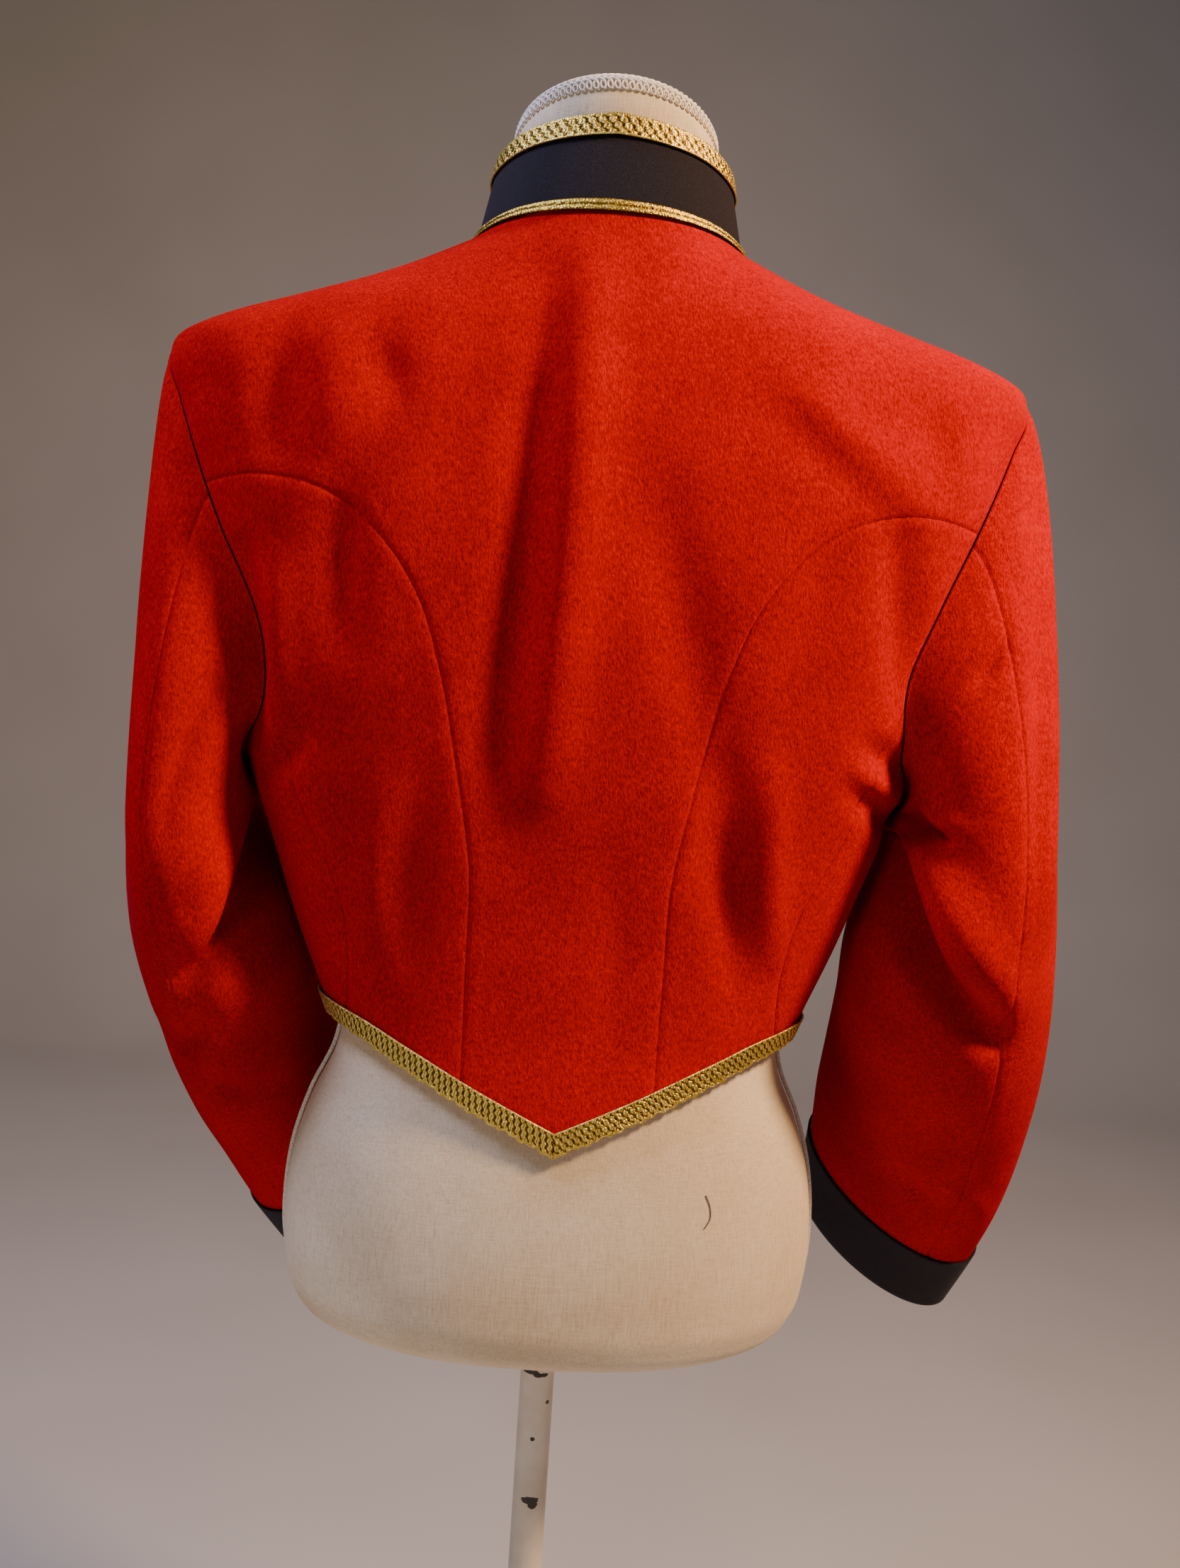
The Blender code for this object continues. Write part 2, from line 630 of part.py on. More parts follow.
def panel_patches():
    """Four-sided patches of one half of the torso: bottom, top, inner or near edge, far edge."""
    curved_hem = seen_place(hem_route(0, CURVED_SEAM_HEM_DEGREES)(np.array(1.0)))
    side_hem = seen_place(hem_route(0, SIDE_SEAM_HEM_DEGREES)(np.array(1.0)))
    split_hem = seen_place(hem_route(0, SPLIT_HEM_DEGREES)(np.array(1.0)))
    front_hem = seen_place(hem_route(0, HEM[-1][0])(np.array(1.0)))

    whole = polyline((curved_hem,) + CURVED_SEAM + (seen_place(armhole(CURVED_SEAM_TURN)),))
    bend_share = share_at_height(whole, CURVED_SEAM_BEND)
    bend = tuple(whole(bend_share))
    curved_low = seen_run(whole, 0, bend_share, 1)
    curved_high = seen_run(whole, bend_share, 1, 1)
    curved = chain((curved_low, LOW_ROWS), (curved_high, CURVED_STEPS))
    side = seen_route((side_hem,) + SIDE_SEAM + (seen_place(armhole(SIDE_SEAM_TURN)),), 1)
    cross_middle = (bend[0] / 2, CROSS_BACK_HEIGHT - CROSS_BACK_SAG)
    cross_back = seen_route(((0, CROSS_BACK_HEIGHT), cross_middle, bend), 1)
    centre_low = seen_route(((0, HEM[0][1]), (0, CROSS_BACK_HEIGHT / 2), (0, CROSS_BACK_HEIGHT)), 1)
    centre_middle = (CROSS_BACK_HEIGHT + NECK_BACK[0][1]) / 2
    centre_high = seen_route(((0, CROSS_BACK_HEIGHT), (0, centre_middle), (0, NECK_BACK[0][1])), 1)
    back_top = chain(
        (seen_route(NECK_BACK, 1), NECK_STEPS),
        (ridge_route(NECK_BACK[-1][1], ARMHOLE[0][2]), SHOULDER_STEPS),
    )

    split_top = seen_place(armhole(FRONT_SPLIT_TURN))
    split_middle = ((split_hem[0] + split_top[0]) / 2, (split_hem[1] + split_top[1]) / 2)
    split = seen_route((split_hem, split_middle, split_top), -1)
    edge_up = polyline((front_hem,) + tuple(reversed(FRONT_EDGE)))
    chest_share = share_at_height(edge_up, CHEST_HEIGHT)
    edge_low = seen_run(edge_up, 0, chest_share, -1)
    edge_high = seen_run(edge_up, chest_share, 1, -1)
    chest_middle = (split_top[0] / 2, (split_top[1] + CHEST_HEIGHT) / 2)
    chest = seen_route((split_top, chest_middle, tuple(edge_up(chest_share))), -1)
    front_top = chain(
        (ridge_route(ARMHOLE[0][2], NECK_BACK[-1][1]), SHOULDER_STEPS),
        (seen_route(NECK_FRONT, -1), NECK_STEPS),
    )
    return {
        "back_low": (hem_route(0, CURVED_SEAM_HEM_DEGREES), cross_back, centre_low, curved_low),
        "back_high": (
            chain((cross_back, CROSS_STEPS), (curved_high, CURVED_STEPS)),
            back_top,
            centre_high,
            armhole_route(CURVED_SEAM_TURN, 0),
        ),
        "side_back": (
            hem_route(CURVED_SEAM_HEM_DEGREES, SIDE_SEAM_HEM_DEGREES),
            armhole_route(CURVED_SEAM_TURN, SIDE_SEAM_TURN),
            curved,
            side,
        ),
        "flank": (
            hem_route(SIDE_SEAM_HEM_DEGREES, SPLIT_HEM_DEGREES),
            armhole_route(SIDE_SEAM_TURN, FRONT_SPLIT_TURN),
            side,
            split,
        ),
        "front_low": (hem_route(SPLIT_HEM_DEGREES, HEM[-1][0]), chest, split, edge_low),
        "front_high": (chest, front_top, armhole_route(FRONT_SPLIT_TURN, 360), edge_high),
    }


def build_body(collection):
    patches = panel_patches()
    side_rows = LOW_ROWS + CURVED_STEPS
    across = NECK_STEPS + SHOULDER_STEPS
    shapes = {
        "back_low": (1, CROSS_STEPS, LOW_ROWS),
        "back_high": (1, across, HIGH_ROWS),
        "side_back": (1, SIDE_BACK_STEPS, side_rows),
        "flank": (0, UNDERARM_STEPS, side_rows),
        "front_low": (-1, across, side_rows),
        "front_high": (-1, across, HIGH_ROWS + 2),
    }

    def patch(part, sign):
        side, steps_u, steps_v = shapes[part]

        def point_at(u, v, out):
            return torso_points(region(u, v, patches[part], side), sign, out)

        return point_at, steps_u, steps_v

    def panel(name, parts, signs):
        pieces = [patch(part, sign) for part in parts for sign in signs]
        cloth_piece(name, pieces, -CLOTH, 0, "scarlet_melton", collection)

    panel("back", ("back_low", "back_high"), (1, -1))
    for hand in ("left", "right"):
        sign = mirror_sign(hand)
        panel(f"side_back_{hand}", ("side_back",), (sign,))
        panel(f"front_{hand}", ("flank", "front_low", "front_high"), (sign,))


def sleeve_section(hand, index, turn):
    """One section of the sleeve: turn 0 is outside, 90 is behind."""
    place = dict(zip(SLEEVE_COLUMNS, SLEEVE_SECTIONS[hand][index]))
    across, deep = place["half_across"], place["half_deep"]
    tilt, lean = radians(place["tilt"]), radians(place["lean"])
    out, back = np.cos(turn), np.sin(turn)
    return np.stack(
        [
            place["x"] + out * across * cos(tilt),
            place["y"] + back * deep * cos(lean),
            place["height"] - out * across * sin(tilt) - back * deep * sin(lean),
        ],
        -1,
    )


def plain_sleeve(hand, turn, run):
    """Point of the sleeve without folds, on the +X side; run goes from armhole 0 to cuff 1."""
    turn = np.asarray(turn, float)
    sections = np.stack([sleeve_section(hand, i, turn) for i in range(len(SLEEVE_SECTIONS[hand]))])
    seam = armhole(np.degrees(turn))
    away = np.stack(
        np.broadcast_arrays(
            CAP_LEAVES["across"], CAP_LEAVES["back"] * np.sin(turn), -CAP_LEAVES["down"]
        ),
        -1,
    )
    away = away / np.linalg.norm(away, axis=-1, keepdims=True)
    start = on_ring(seam[..., 0], seam[..., 1]) + away * ARMHOLE_GAP
    first = sections[0]
    down = np.array([CAP_DRIFT[hand], 0, -1])
    span = np.linalg.norm(first - start, axis=-1, keepdims=True)
    outside = ((1 + np.cos(turn)) / 2)[..., None]
    rounding = CAP_ROUND_UNDER + (CAP_ROUND_TOP[hand] - CAP_ROUND_UNDER) * outside
    cap_share = CAP_ROWS / (CAP_ROWS + ARM_ROWS)
    t = np.clip(run / cap_share, 0, 1)[..., None]
    cap = (
        (1 - t) ** 3 * start
        + 3 * (1 - t) ** 2 * t * (start + away * rounding)
        + 3 * (1 - t) * t**2 * (first - down * span * CAP_PULL)
        + t**3 * first
    )
    count = len(sections)
    place = np.clip((run - cap_share) / (1 - cap_share), 0, 1) * (count - 1)
    i = np.clip(place.astype(int), 0, count - 2)
    s = (place - i)[..., None]

    def section(k):
        return np.take_along_axis(sections, np.clip(k, 0, count - 1)[None, ..., None], 0)[0]

    near, far = section(i), section(i + 1)
    first_leave = down * np.linalg.norm(far - near, axis=-1, keepdims=True)
    leave = np.where((i > 0)[..., None], (far - section(i - 1)) / 2, first_leave)
    arrive = np.where((i < count - 2)[..., None], (section(i + 2) - near) / 2, far - near)
    arm = (
        (2 * s**3 - 3 * s**2 + 1) * near
        + (s**3 - 2 * s**2 + s) * leave
        + (3 * s**2 - 2 * s**3) * far
        + (s**3 - s**2) * arrive
    )
    return np.where(t < 1, cap, arm)


def sleeve(hand, turn, run, out=0.0):
    """World point of the sleeve's outer face, folds included, or that far outside it."""
    step = 10 * SMALL_STEP
    plain = plain_sleeve(hand, turn, run)
    around = plain_sleeve(hand, turn + step, run) - plain_sleeve(hand, turn - step, run)
    before, after = np.clip(run - step, 0, 1), np.clip(run + step, 0, 1)
    along = plain_sleeve(hand, turn, after) - plain_sleeve(hand, turn, before)
    normal = np.cross(along, around)
    normal = normal / np.maximum(np.linalg.norm(normal, axis=-1, keepdims=True), 1e-12)
    lift = np.zeros(plain.shape[:-1])
    for row in SLEEVE_FOLDS[hand]:
        fold = dict(zip(SLEEVE_FOLD_COLUMNS, row))
        start = (radians(fold["turn0"]) * SLEEVE_RADIUS, fold["run0"] * SLEEVE_LENGTH)
        end = (radians(fold["turn1"]) * SLEEVE_RADIUS, fold["run1"] * SLEEVE_LENGTH)
        near = distance_to_line(turn * SLEEVE_RADIUS, run * SLEEVE_LENGTH, start, end)
        lift = lift + fold["depth"] * np.exp(-((near / fold["half_width"]) ** 2))
    points = plain + normal * (lift + out)[..., None]
    return points * (mirror_sign(hand), 1, 1) + (0, 0, HEM_POINT_HEIGHT)


def cuff_start(hand):
    """Share of the sleeve at which the cuff's upper edge lies."""
    runs = np.linspace(0, 1, ROUTE_SAMPLES)
    turns = np.linspace(0, 2 * pi, 2 * SLEEVE_STEPS, endpoint=False)
    middles = np.array([sleeve(hand, turns, np.full(len(turns), run)).mean(axis=0) for run in runs])
    left = np.linalg.norm(middles - middles[-1], axis=1)
    return float(runs[np.argmin(np.abs(left - CUFF_DEPTH))])


def build_sleeves(collection):
    for hand in ("left", "right"):
        spans = {
            "top_sleeve": (radians(FORE_SEAM_TURN) - 2 * pi, radians(HIND_SEAM_TURN)),
            "under_sleeve": (radians(HIND_SEAM_TURN), radians(FORE_SEAM_TURN)),
        }
        for part, (start, end) in spans.items():

            def point_at(u, v, out):
                return sleeve(hand, start + (end - start) * u, v, out)

            patch = (point_at, SLEEVE_STEPS, CAP_ROWS + ARM_ROWS)
            cloth_piece(f"{part}_{hand}", [patch], -CLOTH, 0, "scarlet_melton", collection)
        upper = cuff_start(hand)

        def cuff_at(u, v, out):
            return sleeve(hand, 2 * pi * u, upper + (1 - upper) * v, out)

        cuff = (cuff_at, 2 * SLEEVE_STEPS, CUFF_ROWS)
        cloth_piece(
            f"cuff_{hand}", [cuff], CUFF_GAP, CUFF_GAP + CUFF_CLOTH, "navy_cloth", collection
        )


def neck_seam(turn):
    """Neck seam point by its turn in radians from the centre back; negative on the right."""
    share = np.abs(turn) / pi
    back = seen_route(NECK_BACK, 1)(np.clip(share * 2, 0, 1))
    front = seen_route(NECK_FRONT, -1)(np.clip(share * 2 - 1, 0, 1))
    place = np.where((share < 0.5)[..., None], back, front)
    return on_ring(np.sign(turn) * place[..., 0], place[..., 1])


def collar_point(turn, rise, out=0.0):
    """World point of the collar's outer face; rise 0 is the neck seam and 1 the upper edge."""
    degrees = np.abs(np.degrees(turn))
    turns = column(COLLAR_SHAPE, COLLAR_COLUMNS, "turn")
    seam = neck_seam(turn)
    level = np.linalg.norm(seam[..., :2], axis=-1)
    outward = seam[..., :2] / level[..., None]
    lean = smooth(turns, column(COLLAR_SHAPE, COLLAR_COLUMNS, "lean_in"), degrees) * rise
    up = smooth(turns, column(COLLAR_SHAPE, COLLAR_COLUMNS, "rise"), degrees) * rise
    flat = seam[..., :2] + outward * (out - lean)[..., None]
    height = seam[..., 2] + COLLAR_STANDS_OFF + up + HEM_POINT_HEIGHT
    return np.concatenate([flat, height[..., None]], -1)


def build_collar(collection):
    end = radians(COLLAR_SHAPE[-1][0])
    full = COLLAR_SHAPE[0][1]
    spans = {
        "collar": (0.0, 1.0, -COLLAR_CLOTH, 0.0, "navy_cloth", 2),
        "collar_braid": (
            1 - COLLAR_BRAID_WIDTH / full,
            1.0,
            SURFACE_GAP,
            COLLAR_BRAID_THICK,
            "gold_braid",
            1,
        ),
        "collar_cord": (
            COLLAR_CORD_RISE / full,
            (COLLAR_CORD_RISE + COLLAR_CORD_WIDTH) / full,
            SURFACE_GAP,
            COLLAR_CORD_THICK,
            "gold_braid",
            1,
        ),
    }
    for name, (low, high, inner, thick, material, rows) in spans.items():

        def point_at(u, v, out):
            return collar_point((2 * u - 1) * end, low + (high - low) * v, out)

        outer = 0.0 if name == "collar" else inner + thick
        cloth_piece(name, [(point_at, COLLAR_STEPS, rows)], inner, outer, material, collection)


def build_edge_braid(collection):
    """Flat braid on the hem from the centre back round to the front, and up the front edge."""
    front_hem = seen_place(hem_route(0, HEM[-1][0])(np.array(1.0)))
    hem = hem_route(0, HEM[-1][0])
    edge_up = seen_route((front_hem,) + tuple(reversed(FRONT_EDGE)), -1)
    route = chain((hem, HEM_BRAID_STEPS), (edge_up, FRONT_BRAID_STEPS))
    steps = HEM_BRAID_STEPS + FRONT_BRAID_STEPS
    corner = HEM_BRAID_STEPS / steps

    def plane(angle_height):
        """Directions round and up the torso at a place, with their lengths for one unit."""
        angle, height = angle_height[..., 0], angle_height[..., 1]
        around = on_ring(angle + SMALL_STEP, height) - on_ring(angle - SMALL_STEP, height)
        upward = on_ring(angle, height + SMALL_STEP) - on_ring(angle, height - SMALL_STEP)
        return around / (2 * SMALL_STEP), upward / (2 * SMALL_STEP)

    for hand in ("left", "right"):
        sign = mirror_sign(hand)

        def point_at(u, v, out):
            edge = route(u)
            near = 0.3 / steps
            before, after = route(np.clip(u - near, 0, 1)), route(np.clip(u + near, 0, 1))
            around, upward = plane(edge)
            along = on_ring(after[..., 0], after[..., 1]) - on_ring(before[..., 0], before[..., 1])
            along = along / np.linalg.norm(along, axis=-1, keepdims=True)
            round_length = np.linalg.norm(around, axis=-1)
            up_length = np.linalg.norm(upward, axis=-1)
            flow_round = np.sum(along * around, -1) / round_length
            flow_up = np.sum(along * upward, -1) / up_length
            at_corner = np.abs(u - corner) * steps < 0.5
            width = EDGE_BRAID_WIDTH * np.where(at_corner, EDGE_BRAID_CORNER, 1) * v
            angle = edge[..., 0] - flow_up * width / round_length
            height = edge[..., 1] + flow_round * width / up_length
            mitre = EDGE_BRAID_WIDTH * v / np.maximum(flow_round, SMALL_STEP) / up_length
            angle = np.where(u == 0, 0, angle)
            height = np.where(u == 0, edge[..., 1] + mitre, height)
            return torso_points(np.stack([np.maximum(angle, 0), height], -1), sign, out)

        cloth_piece(
            f"edge_braid_{hand}",
            [(point_at, steps, 1)],
            EDGE_BRAID_GAP,
            EDGE_BRAID_GAP + EDGE_BRAID_THICK,
            "gold_braid",
            collection,
        )


def form_value(name, height):
    return smooth(column(FORM_RINGS, FORM_COLUMNS, "height"), column(FORM_RINGS, FORM_COLUMNS, name), height)


def form_point(turn, height, out=0.0):
    """World point of the dress form by its turn from the centre back, in radians."""
    power = form_value("squareness", height)
    swell = (np.abs(np.sin(turn)) ** power + np.abs(np.cos(turn)) ** power) ** (-1 / power)
    back, front = form_value("back_depth", height), form_value("front_depth", height)
    reach = np.where(np.cos(turn) > 0, back, front)
    x = (form_value("half_width", height) + out) * np.sin(turn) * swell
    y = (reach + out) * np.cos(turn) * swell
    tilt = np.radians(form_value("neck_tilt", height))
    return np.stack([x, y * np.cos(tilt), height + y * np.sin(tilt) + HEM_POINT_HEIGHT], -1)


def build_form(collection):
    heights = column(FORM_RINGS, FORM_COLUMNS, "height")
    form = bmesh.new()

    def form_at(u, v):
        return form_point(2 * pi * u, np.interp(v * (len(heights) - 1), range(len(heights)), heights))

    fill_grid(form, form_at, FORM_STEPS, len(heights) - 1)
    bmesh.ops.remove_doubles(form, verts=form.verts, dist=WELD)
    rims = [edge for edge in form.edges if edge.is_boundary]
    under = [edge for edge in rims if edge.verts[0].co.z < HEM_POINT_HEIGHT]
    over = [edge for edge in rims if edge not in under]
    bmesh.ops.edgeloop_fill(form, edges=under)
    cap = bmesh.ops.edgeloop_fill(form, edges=over)["faces"]
    for vert in bmesh.ops.poke(form, faces=cap)["verts"]:
        vert.co.z += FORM_NECK_DOME
    bmesh.ops.recalc_face_normals(form, faces=form.faces)
    mesh = bpy.data.meshes.new("dress_form")
    form.to_mesh(mesh)
    form.free()
    mesh.shade_smooth()
    mesh.set_sharp_from_angle(angle=SHARP_ANGLE)
    add_object("dress_form", mesh, "form_linen", collection)

    top = heights[-2]
    low = top - NECK_BRAID_WIDTH

    def braid_at(u, v, out):
        return form_point(2 * pi * u, low + (top - low) * v, out)

    cloth_piece(
        "neck_braid",
        [(braid_at, FORM_STEPS, 1)],
        SURFACE_GAP,
        SURFACE_GAP + NECK_BRAID_THICK,
        "white_trim",
        collection,
    )
    levels = np.linspace(SIDE_CORD_TOP, SIDE_CORD_FOOT, SIDE_CORD_POINTS)
    beside = form_point(np.full(len(heights), pi / 2), heights, SIDE_CORD_RADIUS + SURFACE_GAP)
    for hand in ("left", "right"):
        route = np.stack([np.interp(levels, heights, beside[:, i]) for i in range(3)], -1)
        route = route * (mirror_sign(hand), 1, 1)
        wire(f"side_cord_{hand}", route, SIDE_CORD_RADIUS, "white_trim", collection)


def wire(name, points, radius, material, collection):
    """Round cord or bent wire through points."""
    curve = bpy.data.curves.new(name, "CURVE")
    curve.dimensions = "3D"
    curve.bevel_depth = radius
    curve.bevel_resolution = 1
    curve.use_fill_caps = True
    line = curve.splines.new("POLY")
    line.points.add(len(points) - 1)
    for point, place in zip(line.points, points):
        point.co = (*place, 1)
    return add_object(name, curve, material, collection)


def turned(name, profile, steps, material, collection):
    """Turned solid from its profile, top to bottom, as radius and height."""
    outline = bmesh.new()
    places = profile[:-1] if profile[0] == profile[-1] else profile
    verts = [outline.verts.new((radius, 0, height)) for radius, height in places]
    loop = verts + verts[:1] if len(places) < len(profile) else verts
    for first, second in zip(loop, loop[1:]):
        outline.edges.new((first, second))
    mesh = bpy.data.meshes.new(name)
    outline.to_mesh(mesh)
    outline.free()
    piece = add_object(name, mesh, material, collection)
    spin = piece.modifiers.new("turn", "SCREW")
    spin.steps = steps
    spin.render_steps = steps
    spin.use_merge_vertices = True
    spin.merge_threshold = 0.0001
    spin.use_smooth_shade = True
    return piece


def build_stand(collection):
    pole_top = FORM_UNDERSIDE - TOUCH_GAP
    foot = BASE_THICKNESS + TOUCH_GAP
    turned(
        "pole",
        ((0, pole_top), (POLE_RADIUS, pole_top), (POLE_RADIUS, foot), (0, foot)),
        TURNED_STEPS,
        "white_paint",
        collection,
    )
    inner = POLE_RADIUS + TOUCH_GAP
    outer = inner + FERRULE_WALL
    top = foot + FERRULE_HEIGHT
    turned(
        "pole_ferrule",
        (
            (inner, top),
            (outer - FERRULE_EDGE, top),
            (outer, top - FERRULE_EDGE),
            (outer, foot + 2 * FERRULE_FLANGE),
            (FERRULE_RADIUS, foot + FERRULE_FLANGE),
            (FERRULE_RADIUS, foot),
            (inner, foot),
            (inner, top),
        ),
        TURNED_STEPS,
        "white_paint",
        collection,
    )
    turned(
        "stand_base",
        (
            (0, BASE_THICKNESS),
            (BASE_RADIUS - 2 * BASE_EDGE, BASE_THICKNESS),
            (BASE_RADIUS - BASE_EDGE / 2, BASE_THICKNESS - BASE_EDGE / 2),
            (BASE_RADIUS, BASE_THICKNESS - 1.5 * BASE_EDGE),
            (BASE_RADIUS, BASE_EDGE / 2),
            (BASE_RADIUS - BASE_EDGE / 2, 0),
            (0, 0),
        ),
        BASE_STEPS,
        "white_paint",
        collection,
    )


def build_fastening(collection):
    """Hook and eye bent from wire, lying on the inside of the collar's front ends."""
    end = radians(COLLAR_SHAPE[-1][0])
    middle = collar_point(np.array(end), 0.5, -COLLAR_CLOTH - SURFACE_GAP - HOOK_WIRE)
    y, z = float(middle[1]), float(middle[2])
    bend = np.linspace(-0.75 * pi, 0.75 * pi, EYE_STEPS)
    eye = [(EYE_MIDDLE - EYE_LOOP * cos(a), y, z + EYE_LOOP * sin(a)) for a in bend]
    wire("collar_eye", eye, HOOK_WIRE, "blackened_steel", collection)
    hook_y = y + 2 * HOOK_WIRE + TOUCH_GAP
    hook = [(x, hook_y, z) for x in HOOK_REACH]
    wire("collar_hook", hook, HOOK_WIRE, "blackened_steel", collection)


def main():
    for old in list(bpy.data.objects):
        bpy.data.objects.remove(old)
    collection = bpy.data.collections.new("mess_jacket_on_form")
    bpy.context.scene.collection.children.link(collection)
    build_body(collection)
    build_sleeves(collection)
    build_collar(collection)
    build_edge_braid(collection)
    build_fastening(collection)
    build_form(collection)
    build_stand(collection)


main()
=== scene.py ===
"""Looks of a short scarlet mess jacket on a linen dress form with a pole and a round base.

Metres, +Z up; the jacket's front faces -Y and the wearer's left is +X. Heights in the tables are
measured from the centre back point of the hem.
"""
import bpy
import bmesh
import numpy as np
from math import cos, pi, radians, sin
from mathutils import Euler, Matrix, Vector, kdtree


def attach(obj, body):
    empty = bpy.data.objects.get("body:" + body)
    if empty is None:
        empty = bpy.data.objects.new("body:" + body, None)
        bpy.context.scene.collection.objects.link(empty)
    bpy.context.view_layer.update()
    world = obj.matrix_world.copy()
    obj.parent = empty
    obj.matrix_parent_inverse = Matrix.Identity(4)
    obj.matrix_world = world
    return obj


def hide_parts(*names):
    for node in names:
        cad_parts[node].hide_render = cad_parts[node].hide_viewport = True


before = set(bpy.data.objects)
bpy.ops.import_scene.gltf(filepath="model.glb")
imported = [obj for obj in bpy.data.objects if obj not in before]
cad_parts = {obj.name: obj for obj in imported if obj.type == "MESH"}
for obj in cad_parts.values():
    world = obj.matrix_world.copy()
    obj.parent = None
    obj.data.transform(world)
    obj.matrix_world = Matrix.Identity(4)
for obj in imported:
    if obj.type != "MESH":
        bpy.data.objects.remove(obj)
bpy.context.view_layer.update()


# Base of the stand
# A turned steel disc with its edge broken by a small radius, painted off-white. It lies on the
# floor, and the pole is screwed into its middle.
BASE_RADIUS = 0.145
BASE_THICKNESS = 0.012
BASE_EDGE = 0.003
BASE_CHAMFER = 0.001
BASE_STEPS = 128
WELD = 1e-5


def linear(hex_colour):
    """Linear colour of an sRGB hex value."""
    parts = [int(hex_colour[i:i + 2], 16) / 255 for i in (1, 3, 5)]
    return tuple(p / 12.92 if p <= 0.04045 else ((p + 0.055) / 1.055) ** 2.4 for p in parts) + (1.0,)


def new_material(name, roughness, **sockets):
    """A material, its tree, its shader with constant values set, and its Object coordinates."""
    material = bpy.data.materials.new(name)
    material.use_nodes = True
    tree = material.node_tree
    shader = tree.nodes["Principled BSDF"]
    shader.inputs["Roughness"].default_value = roughness
    for socket, value in sockets.items():
        shader.inputs[socket.replace("_", " ")].default_value = value
    where = tree.nodes.new("ShaderNodeTexCoord").outputs["Object"]
    return material, tree, shader, where


def add_node(tree, kind, settings, links):
    """A node with its settings and links; stops are the places and sRGB colours of a ramp.

    A link gives an input, by its name or number, a value, an output or a node's first output.
    """
    node = tree.nodes.new("ShaderNode" + kind)
    for name, value in settings.items():
        if name == "stops":
            while len(node.color_ramp.elements) < len(value):
                node.color_ramp.elements.new(0.5)
            for element, (place, colour) in zip(node.color_ramp.elements, value):
                element.position = place
                element.color = linear(colour)
        else:
            setattr(node, name, value)
    for name, value in links.items():
        if isinstance(value, bpy.types.Node):
            value = value.outputs[0]
        if isinstance(value, bpy.types.NodeSocket):
            tree.links.new(value, node.inputs[name])
        else:
            node.inputs[name].default_value = value
    return node


def dress(tree, shader, colour, bump):
    """Links a colour and a bump to the shader."""
    tree.links.new(colour, shader.inputs["Base Color"])
    tree.links.new(bump.outputs["Normal"], shader.inputs["Normal"])


def finish_mesh(work, name, sharp_degrees=50):
    """The finished bmesh as a smooth mesh with its sharp edges kept."""
    mesh = bpy.data.meshes.new(name)
    work.to_mesh(mesh)
    work.free()
    mesh.shade_smooth()
    mesh.set_sharp_from_angle(angle=radians(sharp_degrees))
    return mesh


def add_piece(name, data, material, slot, *nodes):
    """Puts a finished mesh in the scene for the CAD nodes that it replaces; its slot is not used."""
    piece = bpy.data.objects.new(name, data)
    bpy.context.scene.collection.objects.link(piece)
    data.materials.clear()
    data.materials.append(material)
    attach(piece, "root")
    if nodes:
        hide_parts(*nodes)
    return piece


def turned_mesh(name, profile, steps, closed):
    """A solid turned about the Z axis from its profile of radius and height."""
    work = bmesh.new()
    verts = [work.verts.new((radius, 0, height)) for radius, height in profile]
    edges = [work.edges.new(pair) for pair in zip(verts, verts[1:] + verts[:1] * closed)]
    bmesh.ops.spin(
        work, geom=verts + edges, cent=(0, 0, 0), axis=(0, 0, 1), angle=2 * pi, steps=steps, use_merge=True
    )
    bmesh.ops.remove_doubles(work, verts=work.verts, dist=WELD)
    bmesh.ops.recalc_face_normals(work, faces=work.faces)
    return finish_mesh(work, name, 40)


def rounded_edge(radius, height, edge, steps=6):
    """Profile of a quarter round between a flat top and a straight wall."""
    turns = np.linspace(0, pi / 2, steps)
    return [(radius - edge + edge * sin(a), height - edge + edge * cos(a)) for a in turns]


# Brushed-on enamel over steel: off-white, yellowed unevenly, with a faint orange peel.
white_enamel, tree, shader, where = new_material("white_enamel", 0.38, Coat_Weight=0.15)
clouds = add_node(tree, "TexNoise", {}, {"Vector": where, "Scale": 1 / 0.03})
tone = add_node(tree, "ValToRGB", {"stops": ((0.35, "#CFCABD"), (0.7, "#E1DDD3"))}, {"Fac": clouds})
peel = add_node(tree, "TexNoise", {}, {"Vector": where, "Scale": 1 / 0.0018})
bump = add_node(tree, "Bump", {}, {"Height": peel, "Distance": 0.00005})
dress(tree, shader, tone.outputs[0], bump)

profile = [(0, BASE_THICKNESS)] + rounded_edge(BASE_RADIUS, BASE_THICKNESS, BASE_EDGE)
profile += [(BASE_RADIUS, BASE_CHAMFER), (BASE_RADIUS - BASE_CHAMFER, 0), (0, 0)]
disc = turned_mesh("base_disc", profile, BASE_STEPS, False)
add_piece("base_disc", disc, white_enamel, "white_paint", "stand_base")


